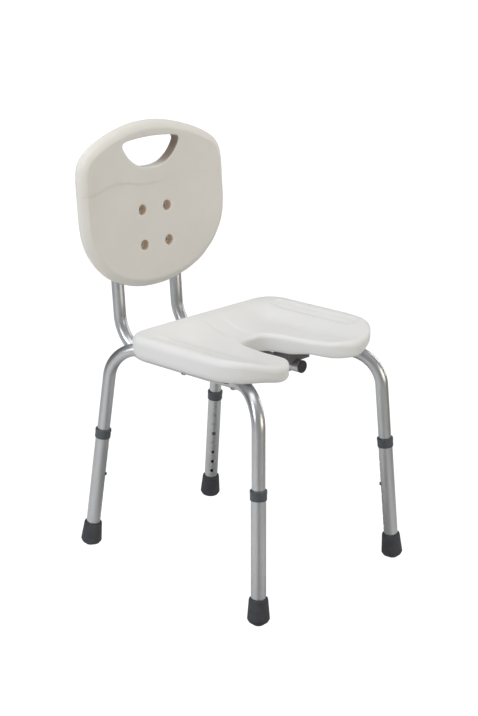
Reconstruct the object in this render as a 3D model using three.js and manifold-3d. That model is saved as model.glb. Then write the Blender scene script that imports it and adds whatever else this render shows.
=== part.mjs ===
// Shower chair: blow-moulded seat and backrest on a bent-tube aluminium frame,
// with four telescoping legs. Millimetres, +Z up, the sitter faces -Y.
// Origin: on the floor, under the centre of the bounding box.
import * as THREE from 'three';
import { mergeVertices } from 'three/addons/utils/BufferGeometryUtils.js';
import Module from 'manifold-3d';

const wasm = await Module();
wasm.setup();

// ---------- driving dimensions ----------
const Y_SHIFT = -6.2;             // moves the drawing so that its box is centred on Y = 0
const FOOT_FRONT = [207.2, -253.6]; // leg axis at Z = 11, front pair (x is mirrored)
const FOOT_REAR = [181.9, 253.6];   // leg axis at Z = 11, rear pair
const COLLAR_Z = 255.1;
const COLLAR_FRONT = [192.1, -238.6];
const COLLAR_REAR = [167.6, 222.4];
const BOW_Z = 445.0;              // axis height of the frame tubes under the seat
const BOW_HEADING = 67.8;         // degrees from X, direction the bow leaves each leg bend
const LEG_BEND_R = 72;
const BOW_BEND_R = 160;
const UPPER_R = 13.0, UPPER_BORE_R = 11.5;    // frame tube
const LOWER_R = 14.5, LOWER_BORE_R = 13.3;    // lower leg tube
const INNER_END = 130;            // frame tube's end below the collar's centre, along the leg
const LOWER_TOP = -8, LOWER_END = 246;        // lower tube, along the leg from the collar's centre
const BUTTON_S = 91.75;           // snap button, along the leg
const HOLE_PITCH = 24, HOLE_R = 4.0;
const BUTTON_R = 3.6;
const BOLT_R = 3.0;
const BOW_BOLTS = [100, 86];      // front bolt from the front knee, rear bolt from the apex, along the bow
const INWARD = [0.643, 0.766];    // plan direction the holes face (mirrored per leg)
const BACK_X = 83, BACK_Z = 413;  // back tubes: spacing and height under the seat
const BACK_BEND_R = 80, BACK_BEND_Y = 172, BACK_FRONT_Y = -104;
const RECLINE = 0.07;             // rise-over-run of the back
const BACK_TOP_Z = 768;
const SEAT_T = 504, SEAT_B = 453, SEAT_RECESS = 458.4;
const BACKREST_T = 25;
const BAR_T = 3;                  // cross bars behind the backrest
const SADDLE_Y = { front: -71, rear: 66 };

const mats = {
  hdpe: new THREE.MeshStandardMaterial({ color: 0xe3e3e2, roughness: 0.55, metalness: 0 }),
  alu: new THREE.MeshStandardMaterial({ color: 0xb4b5b6, roughness: 0.32, metalness: 0.9 }),
  rubber: new THREE.MeshStandardMaterial({ color: 0x3c3d42, roughness: 0.8, metalness: 0 }),
  collar: new THREE.MeshStandardMaterial({ color: 0x484c52, roughness: 0.5, metalness: 0 }),
  plug: new THREE.MeshStandardMaterial({ color: 0x2d3032, roughness: 0.5, metalness: 0 }),
  steel: new THREE.MeshStandardMaterial({ color: 0x9a9da0, roughness: 0.35, metalness: 1 }),
  bracket: new THREE.MeshStandardMaterial({ color: 0x3f3e3e, roughness: 0.55, metalness: 0 }),
};
const root = new THREE.Group();
root.name = 'shower_chair';
root.position.set(0, Y_SHIFT, 0);
function put(name, geometry, material) {
  const g = geometry.clone();
  if (g.getAttribute('uv')) g.deleteAttribute('uv');
  g.deleteAttribute('normal');
  const shell = outward(mergeVertices(g, 1e-4));
  shell.computeVertexNormals();
  const m = new THREE.Mesh(shell, material);
  m.name = name;
  root.add(m);
  return m;
}

// ---------- solids ----------
const V = (x, y, z) => new THREE.Vector3(x, y, z);
// the same surface with its faces turned outwards
function outward(geometry) {
  const g = geometry.index ? geometry : mergeVertices(geometry);
  const p = g.getAttribute('position'), ix = g.getIndex().array;
  const a = V(), b = V(), c = V();
  let volume = 0;
  for (let i = 0; i < ix.length; i += 3) {
    a.fromBufferAttribute(p, ix[i]); b.fromBufferAttribute(p, ix[i + 1]); c.fromBufferAttribute(p, ix[i + 2]);
    volume += a.dot(b.cross(c));
  }
  if (volume < 0) for (let i = 0; i < ix.length; i += 3) [ix[i + 1], ix[i + 2]] = [ix[i + 2], ix[i + 1]];
  return g;
}
function solid(geometry) {
  let g = geometry.clone();
  g.deleteAttribute('normal');
  if (g.getAttribute('uv')) g.deleteAttribute('uv');
  g = outward(mergeVertices(g, 1e-4));
  const p = g.getAttribute('position');
  return new wasm.Manifold(new wasm.Mesh({ numProp: 3, vertProperties: new Float32Array(p.array), triVerts: new Uint32Array(g.getIndex().array) }));
}
function toGeometry(man) {
  const mesh = man.getMesh();
  const n = mesh.numProp, pos = new Float32Array(mesh.vertProperties.length / n * 3);
  for (let i = 0; i < pos.length / 3; i++) for (let k = 0; k < 3; k++) pos[3 * i + k] = mesh.vertProperties[n * i + k];
  const g = new THREE.BufferGeometry();
  g.setAttribute('position', new THREE.BufferAttribute(pos, 3));
  g.setIndex(new THREE.BufferAttribute(new Uint32Array(mesh.triVerts), 1));
  g.computeVertexNormals();
  return g;
}
const cut = (a, ...bs) => { for (const b of bs) a = a.subtract(b); return a; };
function box(x0, y0, z0, x1, y1, z1) {
  const g = new THREE.BoxGeometry(x1 - x0, y1 - y0, z1 - z0);
  g.translate((x0 + x1) / 2, (y0 + y1) / 2, (z0 + z1) / 2);
  return g;
}
// geometry built along +Z, placed so that +Z points along dir and its origin is at p
function aim(g, p, dir, roll = null) {
  const z = dir.clone().normalize();
  let x = roll ? roll.clone() : (Math.abs(z.z) > 0.9 ? V(1, 0, 0) : V(0, 0, 1));
  x.sub(z.clone().multiplyScalar(x.dot(z))).normalize();
  const y = z.clone().cross(x);
  g.applyMatrix4(new THREE.Matrix4().makeBasis(x, y, z).setPosition(p));
  return g;
}
// closed profile of [r, z] pairs turned about Z
function turned(profile, segments = 20) {
  const pts = profile.map(([r, z]) => new THREE.Vector2(r, z));
  if (profile[0][0] > 0 || profile[profile.length - 1][0] > 0) pts.push(pts[0].clone());
  const g = new THREE.LatheGeometry(pts, segments);
  g.rotateX(Math.PI / 2);   // the lathe turns about Y
  return g;
}
// a path through given points, swept without twist
class PointPath extends THREE.Curve {
  constructor(points) { super(); this.points = points; }
  getSpacedPoints() { return this.points.map((p) => p.clone()); }
  getPoint(t) {
    const n = this.points.length - 1, i = Math.min(Math.floor(t * n), n - 1);
    return this.points[i].clone().lerp(this.points[i + 1], t * n - i);
  }
  computeFrenetFrames() {
    const n = this.points.length, tangents = [], normals = [], binormals = [];
    for (let i = 0; i < n; i++) {
      const a = this.points[Math.max(i - 1, 0)], b = this.points[i], c = this.points[Math.min(i + 1, n - 1)];
      const t = V(0, 0, 0);
      if (i > 0) t.add(b.clone().sub(a).normalize());
      if (i < n - 1) t.add(c.clone().sub(b).normalize());
      tangents.push(t.normalize());
    }
    let normal = V(0, 0, 1);
    if (Math.abs(tangents[0].z) > 0.9) normal = V(1, 0, 0);
    for (let i = 0; i < n; i++) {
      normal = normal.clone().sub(tangents[i].clone().multiplyScalar(normal.dot(tangents[i]))).normalize();
      normals.push(normal);
      binormals.push(tangents[i].clone().cross(normal));
    }
    return { tangents, normals, binormals };
  }
}
// points along a polyline whose corners are rounded
function filleted(vertices, radii, steps) {
  const out = [vertices[0].clone()];
  for (let i = 1; i < vertices.length - 1; i++) {
    const v = vertices[i], a = v.clone().sub(vertices[i - 1]).normalize(), b = vertices[i + 1].clone().sub(v).normalize();
    const turn = Math.acos(THREE.MathUtils.clamp(a.dot(b), -1, 1)), R = radii[i - 1];
    const s = v.clone().sub(a.clone().multiplyScalar(R * Math.tan(turn / 2)));
    const n = b.clone().sub(a.clone().multiplyScalar(a.dot(b))).normalize();
    const k = steps[i - 1];
    for (let j = 0; j <= k; j++) {
      const t = turn * j / k;
      out.push(s.clone().add(a.clone().multiplyScalar(R * Math.sin(t))).add(n.clone().multiplyScalar(R * (1 - Math.cos(t)))));
    }
  }
  out.push(vertices[vertices.length - 1].clone());
  return out;
}
function ring(r, bore, segments) {
  const s = new THREE.Shape();
  const at = (R, i) => [R * Math.cos(2 * Math.PI * i / segments), R * Math.sin(2 * Math.PI * i / segments)];
  s.moveTo(...at(r, 0));
  for (let i = 1; i < segments; i++) s.lineTo(...at(r, i));
  s.closePath();
  if (bore) {
    const h = new THREE.Path();
    h.moveTo(...at(bore, 0));
    for (let i = 1; i < segments; i++) h.lineTo(...at(bore, -i));
    h.closePath();
    s.holes.push(h);
  }
  return s;
}
function tube(points, r, bore, segments) {
  return new THREE.ExtrudeGeometry(ring(r, bore, segments), { steps: points.length - 1, bevelEnabled: false, extrudePath: new PointPath(points), curveSegments: 1 });
}
// a drill along dir through p
const drill = (p, dir, r, from, to, segments = 12) => solid(aim(turned([[0, from], [r, from], [r, to], [0, to]], segments), p, dir));

// ---------- legs ----------
const legs = {
  front_left: { sx: -1, foot: FOOT_FRONT, collar: COLLAR_FRONT, sy: -1 },
  front_right: { sx: 1, foot: FOOT_FRONT, collar: COLLAR_FRONT, sy: -1 },
  rear_left: { sx: -1, foot: FOOT_REAR, collar: COLLAR_REAR, sy: 1 },
  rear_right: { sx: 1, foot: FOOT_REAR, collar: COLLAR_REAR, sy: 1 },
};
for (const leg of Object.values(legs)) {
  const f = V(leg.sx * leg.foot[0], leg.foot[1], 11), c = V(leg.sx * leg.collar[0], leg.collar[1], COLLAR_Z);
  leg.c = c;
  leg.down = f.clone().sub(c).normalize();
  leg.at = (s) => c.clone().add(leg.down.clone().multiplyScalar(s));
  const inward = V(-leg.sx * INWARD[0], -leg.sy * INWARD[1], 0);
  leg.inward = inward.sub(leg.down.clone().multiplyScalar(inward.dot(leg.down))).normalize();
  // the leg's axis meets the bow's height here
  const up = leg.down.clone().multiplyScalar(-1);
  leg.knee = c.clone().add(up.multiplyScalar((BOW_Z - COLLAR_Z) / up.z));
}

// ---------- bow tubes: front leg, run under the seat, rear leg ----------
const hd = THREE.MathUtils.degToRad(BOW_HEADING);
const bows = {};
for (const [name, sx] of [['left', -1], ['right', 1]]) {
  const F = legs['front_' + name], R = legs['rear_' + name];
  // the two runs meet at the bow's apex
  const cx = Math.cos(hd), sy = Math.sin(hd);
  const dx = Math.abs(F.knee.x) - Math.abs(R.knee.x), L = R.knee.y - F.knee.y;
  const s = (L / sy + dx / cx) / 2;
  const apex = V(sx * (Math.abs(F.knee.x) - cx * s), F.knee.y + sy * s, BOW_Z);
  const pts = filleted([F.at(INNER_END), F.knee, apex, R.knee, R.at(INNER_END)], [LEG_BEND_R, BOW_BEND_R, LEG_BEND_R], [6, 3, 6]);
  bows[name] = { apex, pts, F, R };
  bows[name].bolts = [
    F.knee.clone().add(apex.clone().sub(F.knee).setLength(BOW_BOLTS[0])),
    apex.clone().add(R.knee.clone().sub(apex).setLength(BOW_BOLTS[1])),
  ];
}
for (const [name, b] of Object.entries(bows)) {
  let m = solid(tube(b.pts, UPPER_R, UPPER_BORE_R, 14));
  for (const leg of [b.F, b.R]) m = m.subtract(drill(leg.at(BUTTON_S), leg.inward, BUTTON_R + 0.35, 6, 20, 10));
  for (const p of b.bolts) m = m.subtract(drill(p, V(0, 0, 1), BOLT_R + 0.3, -20, 20, 8));
  put(name + '_bow_tube', toGeometry(m), mats.alu);
}

// ---------- lower legs, collars, feet, buttons ----------
for (const [name, leg] of Object.entries(legs)) {
  const len = LOWER_END - LOWER_TOP;
  let m = solid(aim(turned([[LOWER_BORE_R, 0], [LOWER_R, 0], [LOWER_R, len], [LOWER_BORE_R, len]], 18), leg.at(LOWER_TOP), leg.down, leg.inward));
  for (let i = -3; i <= 4; i++) m = m.subtract(drill(leg.at(BUTTON_S + i * HOLE_PITCH), leg.inward, HOLE_R, 8, 20, 7));
  put(name + '_lower_leg_tube', toGeometry(m), mats.alu);

  // collar: a sleeve over the tube's mouth with a lip that closes on the inner tube
  put(name + '_collar', aim(turned([[13.35, -10.6], [15.4, -10.6], [16.7, -9.0], [16.7, 7.6], [15.6, 9.4], [14.8, 9.4], [14.8, -8.3], [13.35, -8.3]], 18), leg.at(0), leg.down, leg.inward), mats.collar);

  // foot tip: cup over the tube's end, flat on the floor
  const floor = COLLAR_Z / -leg.down.z;       // distance along the leg to the floor
  const top = floor - 52;
  const cup = solid(aim(turned([
    [0, floor + 6], [10.6, floor + 6], [11.2, floor], [18.6, floor - 5.2], [21.7, floor - 10.6], [21.6, floor - 14],
    [18.7, top + 2.0], [17.6, top], [14.8, top], [14.8, LOWER_END + 2.9], [0, LOWER_END + 2.9]], 20), leg.c, leg.down, leg.inward));
  put(name + '_foot_tip', toGeometry(cup.subtract(solid(box(-400, -400, -60, 400, 400, 0)))), mats.rubber);
  put(name + '_foot_washer', aim(turned([[5, 0.35], [14.2, 0.35], [14.2, 2.5], [5, 2.5]], 14), leg.at(LOWER_END), leg.down, leg.inward), mats.steel);

  // snap button: round nose through both walls, on a short stem
  put(name + '_snap_button', aim(turned([[0, 9.6], [BUTTON_R, 9.6], [BUTTON_R, 15.4], [2.9, 16.6], [1.5, 17.2], [0, 17.3]], 10), leg.at(BUTTON_S), leg.inward), mats.steel);

  // V-shaped leaf spring inside the frame tube: in the plane of the leg's axis and the inward direction
  const v = new THREE.Shape();
  const w = [[9.2, 10], [9.2, -10], [1.2, -46], [-1.2, -46], [-9.6, -8], [-9.6, 6], [-8.6, 6], [-8.6, -7.9], [-0.5, -44.8], [0.5, -44.8], [8.2, -9.8], [8.2, 10]];
  w.forEach(([a, b], i) => (i ? v.lineTo(a, b) : v.moveTo(a, b)));
  v.closePath();
  const g = new THREE.ExtrudeGeometry(v, { depth: 8, bevelEnabled: false });
  g.translate(0, 0, -4);
  // shape x: inward, shape y: down the leg
  const z = leg.inward.clone().cross(leg.down);
  g.applyMatrix4(new THREE.Matrix4().makeBasis(leg.inward, leg.down, z).setPosition(leg.at(BUTTON_S)));
  put(name + '_snap_spring', g, mats.steel);
}

// ---------- seat ----------
// plan outline: half-widths along a rounded rectangle, with a U-shaped cut-out at the front
const smooth = (t) => { t = THREE.MathUtils.clamp(t, 0, 1); return t * t * (3 - 2 * t); };
const SEAT = { x: 216, y0: -223, y1: 107, rRear: 54 };
function roundedCorner(cx, cy, r, a0, a1, n, out) {
  for (let i = 0; i <= n; i++) { const a = a0 + (a1 - a0) * i / n; out.push([cx + r * Math.cos(a), cy + r * Math.sin(a)]); }
}
function seatOutline() {
  // right half, from the cut-out's apex at the rear round to the rear edge's middle
  const pts = [];
  const U = [[0, -38], [20, -40.5], [36, -50], [44, -66], [54, -135], [59.5, -176]];
  U.forEach((p) => pts.push(p));
  // rounded nose of the front lobe, slanting front edge, wide outer corner
  [[64, -193], [73.5, -207.5], [88, -219], [105, -226.5], [124, -228], [149, -221], [174, -207], [195, -187], [208.5, -162], [214.5, -132], [216, -90]].forEach((p) => pts.push(p));
  pts.push([216, -20]);
  roundedCorner(SEAT.x - SEAT.rRear, SEAT.y1 - 1 - SEAT.rRear, SEAT.rRear, 0, Math.PI / 2, 5, pts);
  pts.push([75, SEAT.y1 - 0.8]);
  pts.push([0, SEAT.y1]);
  const left = pts.slice(1, -1).map(([x, y]) => [-x, y]).reverse();
  return pts.concat(left);
}
function insetLoop(loop, d) {
  // moves each point inwards along the bisector of its two edges
  const n = loop.length;
  return loop.map((p, i) => {
    const a = loop[(i + n - 1) % n], c = loop[(i + 1) % n];
    const e1 = [p[0] - a[0], p[1] - a[1]], e2 = [c[0] - p[0], c[1] - p[1]];
    const l1 = Math.hypot(...e1), l2 = Math.hypot(...e2);
    const n1 = [-e1[1] / l1, e1[0] / l1], n2 = [-e2[1] / l2, e2[0] / l2];
    let b = [n1[0] + n2[0], n1[1] + n2[1]];
    const lb = Math.hypot(...b);
    b = [b[0] / lb, b[1] / lb];
    const k = d / Math.max(b[0] * n1[0] + b[1] * n1[1], 0.5);
    return [p[0] + b[0] * k, p[1] + b[1] * k];
  });
}
// a closed solid lofted through loops of equal length, capped by triangulating the first and last
function loft(loops) {
  const n = loops[0].length, pos = [], idx = [];
  for (const L of loops) for (const p of L) pos.push(...p);
  for (let k = 0; k < loops.length - 1; k++) for (let i = 0; i < n; i++) {
    const j = (i + 1) % n, a = k * n + i, b = k * n + j, c = a + n, d = b + n;
    idx.push(a, b, d, a, d, c);
  }
  const flat = (L) => L.map((p) => new THREE.Vector2(p[0], p[1]));
  for (const [a, b, c] of THREE.ShapeUtils.triangulateShape(flat(loops[0]), [])) idx.push(a, c, b);
  const o = (loops.length - 1) * n;
  for (const [a, b, c] of THREE.ShapeUtils.triangulateShape(flat(loops[loops.length - 1]), [])) idx.push(o + a, o + b, o + c);
  const g = new THREE.BufferGeometry();
  g.setAttribute('position', new THREE.Float32BufferAttribute(pos, 3));
  g.setIndex(idx);
  return g;
}
// height of the seat's top: high rim, dished middle that dips to the cut-out's lip
const outline = seatOutline();
let seat;
function seatDip(x, y) {
  const side = smooth((SEAT.x - Math.abs(x) - 16) / 95), rear = smooth((SEAT.y1 - y - 10) / 95), front = smooth((y - SEAT.y0) / 110);
  return 23 * side * rear * (0.76 + 0.24 * front);
}
// height of the lip's underside: raised along the sides and the rear, lower round the cut-out
function seatLip(x, y) {
  const ax = Math.abs(x);
  const rise = 5 * Math.max(smooth((ax - 105) / 60), smooth((y - 70) / 25)) - smooth((150 - ax) / 40) * smooth((-150 - y) / 40);
  return SEAT_B + rise - 9.5 * smooth((62 - ax) / 14) * smooth((y + 165) / 70) * smooth(-y / 12);
}
{
  const ccw = outline;   // runs anticlockwise seen from above
  const loops = [];
  const level = (d, z, dip) => insetLoop(ccw, d).map(([x, y]) => [x, y, z - (dip ? dip * seatDip(x, y) : 0)]);
  // lower edge: its rounding is tight along the cut-out and wide along the sides
  const low0 = (k, h) => insetLoop(ccw, 1).map((p, i) => {
    const [x0, y0] = ccw[i], r = 8 + 9 * smooth((Math.abs(x0) - 110) / 60), d = r * k;
    return [x0 + (p[0] - x0) * d, y0 + (p[1] - y0) * d, seatLip(x0, y0) + r * h];
  });
  loops.push(low0(1.05, 0));
  loops.push(low0(0.32, 0.27));
  loops.push(low0(0.02, 1.1));
  loops.push(level(0.3, SEAT_T - 20, 0.7));
  loops.push(level(4.5, SEAT_T - 8.5, 0.95));
  loops.push(level(15, SEAT_T - 0.8, 1));
  let m = solid(loft(loops));
  // dished top, cut by a field of prisms laid as one sheet
  const nx = 12, ny = 10, x0 = -216, x1 = 216, y0 = -228, y1 = 112;
  const pos = [], idx = [];
  for (let j = 0; j <= ny; j++) for (let i = 0; i <= nx; i++) {
    const x = x0 + (x1 - x0) * i / nx, y = y0 + (y1 - y0) * j / ny;
    pos.push(x, y, SEAT_T - 0.8 - seatDip(x, y) + 0.8 * smooth((40 - Math.abs(Math.abs(x) - 175)) / 40));
  }
  const low = pos.length / 3;
  for (let j = 0; j <= ny; j++) for (let i = 0; i <= nx; i++) pos.push(x0 + (x1 - x0) * i / nx, y0 + (y1 - y0) * j / ny, SEAT_T + 30);
  const at = (i, j) => j * (nx + 1) + i;
  for (let j = 0; j < ny; j++) for (let i = 0; i < nx; i++) {
    const a = at(i, j), b = at(i + 1, j), c = at(i + 1, j + 1), d = at(i, j + 1);
    idx.push(a, c, b, a, d, c);
    idx.push(low + a, low + b, low + c, low + a, low + c, low + d);
  }
  const side = (a, b) => idx.push(a, b, low + b, a, low + b, low + a);
  for (let i = 0; i < nx; i++) { side(at(i, 0), at(i + 1, 0)); side(at(i + 1, ny), at(i, ny)); }
  for (let j = 0; j < ny; j++) { side(at(nx, j), at(nx, j + 1)); side(at(0, j + 1), at(0, j)); }
  const sheet = new THREE.BufferGeometry();
  sheet.setAttribute('position', new THREE.Float32BufferAttribute(pos, 3));
  sheet.setIndex(idx);
  m = m.subtract(solid(sheet));
  // shallow recess underneath, inside a perimeter lip
  const recess = insetLoop(ccw, 26).map(([x, y]) => [x, y]);
  m = m.subtract(solid(loft([recess.map(([x, y]) => [x, y, SEAT_B - 20]), recess.map(([x, y]) => [x, y, SEAT_RECESS])])));
  // pockets in the lip for the four saddles
  for (const sx of [-1, 1]) for (const yc of Object.values(SADDLE_Y)) {
    m = m.subtract(solid(box(sx * BACK_X - 26, yc - 23, SEAT_B - 20, sx * BACK_X + 26, yc + 23, SEAT_RECESS)));
  }
  // channels where the bow tubes pass under the lip
  for (const b of Object.values(bows)) for (const leg of [b.F, b.R]) {
    const dir = b.apex.clone().sub(leg.knee).normalize();
    const g = new THREE.BoxGeometry(2 * UPPER_R + 4, 40, 230);
    g.translate(0, 0, 0);
    const mid = leg.knee.clone().add(dir.clone().multiplyScalar(40));
    m = m.subtract(solid(aim(g, V(mid.x, mid.y, SEAT_RECESS - 20), dir, V(dir.y, -dir.x, 0))));
  }
  seat = m;
}
const hole = (x, y, depth = 16) => { seat = seat.subtract(drill(V(x, y, SEAT_RECESS), V(0, 0, 1), BOLT_R + 0.3, -12, depth, 8)); };

// pan-head bolt: head below, shank up; origin under the head, pointing up
function bolt(len, headR = 6.2, headH = 4) {
  return turned([[0, -headH], [headR * 0.6, -headH], [headR, -headH * 0.4], [headR, 0], [BOLT_R, 0], [BOLT_R, len], [0, len]], 8);
}
// bolts through the bow tubes into the seat
for (const [name, b] of Object.entries(bows)) b.bolts.forEach((p, i) => {
  hole(p.x, p.y);
  put(`${name}_bow_bolt_${i ? 'rear' : 'front'}`, aim(bolt(2 * UPPER_R + 12), V(p.x, p.y, BOW_Z - UPPER_R - 0.3), V(0, 0, 1)), mats.steel);
});

// ---------- saddles over the back tubes ----------
const TUBE_TOP = BACK_Z + UPPER_R;
const SADDLE_LEN = 42;
for (const [name, sx] of [['left', -1], ['right', 1]]) for (const [end, yc] of Object.entries(SADDLE_Y)) {
  const xc = sx * BACK_X, s = new THREE.Shape();
  // section across the tube (x across, y up): flanges, body up to the seat, groove for the tube
  const h = SEAT_RECESS - 0.35 - BACK_Z, P = [];
  P.push([-38.5, 9], [-38.5, 15.5], [-26, 15.5], [-24, h], [24, h], [26, 15.5], [38.5, 15.5], [38.5, 9]);
  const a0 = Math.asin(9 / 13.4);
  for (let i = 0; i <= 8; i++) { const a = a0 + (Math.PI - 2 * a0) * i / 8; P.push([13.4 * Math.cos(a), 13.4 * Math.sin(a)]); }
  P.forEach(([a, b], i) => (i ? s.lineTo(a, b) : s.moveTo(a, b)));
  s.closePath();
  const g = new THREE.ExtrudeGeometry(s, { depth: SADDLE_LEN, bevelEnabled: false });
  g.applyMatrix4(new THREE.Matrix4().makeBasis(V(1, 0, 0), V(0, 0, 1), V(0, -1, 0)).setPosition(V(xc, yc + SADDLE_LEN / 2, BACK_Z)));
  let m = solid(g);
  // clearance for the bow tube that passes beside the saddle
  const clear = solid(tube(bows[name].pts, UPPER_R + 0.8, 0, 14));
  m = m.subtract(clear);
  m = m.subtract(drill(V(xc, yc, BACK_Z), V(0, 0, 1), BOLT_R + 0.3, 0, 80, 8));
  const parts = m.decompose();
  parts.sort((a, b) => b.volume() - a.volume());
  put(`${name}_${end}_saddle`, toGeometry(parts[0]), mats.bracket);
  hole(xc, yc, 14);
  put(`${name}_${end}_saddle_bolt`, aim(bolt(SEAT_RECESS - BACK_Z + UPPER_R + 10), V(xc, yc, BACK_Z - UPPER_R - 0.3), V(0, 0, 1)), mats.steel);
}

// ---------- centre strap under the bows ----------
{
  const y = bows.left.apex.y, t = 2.4, zl = BOW_Z - UPPER_R - 0.4 - t, zh = SEAT_B + 4.6 - t;
  const s = new THREE.Shape();
  const up = [[-181, zh], [-150, zh], [-122, zl], [122, zl], [150, zh], [181, zh]];
  const P = up.map(([x, z]) => [x, z + t]).reverse();
  [...up, ...P].forEach(([a, b], i) => (i ? s.lineTo(a, b) : s.moveTo(a, b)));
  s.closePath();
  const g = new THREE.ExtrudeGeometry(s, { depth: 26, bevelEnabled: false });
  g.applyMatrix4(new THREE.Matrix4().makeBasis(V(1, 0, 0), V(0, 0, 1), V(0, -1, 0)).setPosition(V(0, y + 13, 0)));
  let m = solid(g);
  for (const sx of [-1, 1]) {
    m = m.subtract(drill(V(sx * 168, y, zh), V(0, 0, 1), BOLT_R + 0.3, -9, 9, 8));
    hole(sx * 168, y, 13);
    put(`${sx < 0 ? 'left' : 'right'}_strap_bolt`, aim(bolt(14), V(sx * 168, y, zh - 0.3), V(0, 0, 1)), mats.steel);
  }
  put('centre_strap', toGeometry(m), mats.bracket);
}
put('seat_shell', toGeometry(seat), mats.hdpe);

// ---------- back tubes ----------
const backDir = V(0, RECLINE, 1).normalize();
for (const [name, sx] of [['left', -1], ['right', 1]]) {
  const x = sx * BACK_X;
  const knee = V(x, BACK_BEND_Y + BACK_BEND_R * (1 - 0.03), BACK_Z);
  const topY = knee.y + RECLINE * (BACK_TOP_Z - BACK_Z);
  const pts = filleted([V(x, BACK_FRONT_Y, BACK_Z), knee, V(x, topY, BACK_TOP_Z)], [BACK_BEND_R], [7]);
  let m = solid(tube(pts, UPPER_R, UPPER_BORE_R, 14));
  for (const yc of Object.values(SADDLE_Y)) m = m.subtract(drill(V(x, yc, BACK_Z), V(0, 0, 1), BOLT_R + 0.3, -20, 20, 8));
  put(name + '_back_tube', toGeometry(m), mats.alu);
  // plugs: a disc on the end with a stub in the bore
  const plug = () => turned([[0, -14], [10.7, -14], [10.7, 0.3], [12.9, 0.3], [13.4, 1.6], [10, 4.6], [0, 4.9]], 12);
  put(name + '_front_plug', aim(plug(), V(x, BACK_FRONT_Y, BACK_Z), V(0, -1, 0)), mats.plug);
  put(name + '_top_plug', aim(plug(), V(x, topY, BACK_TOP_Z), backDir), mats.plug);
}

// ---------- backrest ----------
const BACK_KNEE_Y = BACK_BEND_Y + BACK_BEND_R * 0.97;
const tubeY = (z) => BACK_KNEE_Y + RECLINE * (z - BACK_Z);          // axis of the back tubes
const faceY = (z) => tubeY(z) - UPPER_R - 1.4 - BACKREST_T;         // middle of the front face
const CURVE = 13 / (203 * 203);                                     // the sides come forward
const half = [[0, 883], [42, 880.5], [84, 872.5], [131, 858], [168, 841], [187, 827], [198, 810], [202, 788], [203, 745], [203, 702], [200.5, 675], [195.5, 655], [187, 636], [169, 609], [151, 591], [132, 576], [110, 564.5], [88, 555.5], [45, 544.5], [0, 541]];
function backOutline() {
  const right = half.slice(1, -1).map(([x, z]) => [x, z]);
  const left = right.map(([x, z]) => [-x, z]).reverse();
  return [[0, 883], ...left.reverse(), [0, 541], ...right.reverse()];   // anticlockwise seen from the front
}
const handle = [[0, 852], [-40, 850.5], [-72, 846.5], [-79, 842], [-78.5, 836], [-71, 824], [-57, 808.5], [-38, 796.5], [-18, 791.2], [0, 790], [18, 791.2], [38, 796.5], [57, 808.5], [71, 824], [78.5, 836], [79, 842], [72, 846.5], [40, 850.5]];
const panel = (x, z, depth) => [x, faceY(z) + depth - CURVE * x * x, z];
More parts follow.
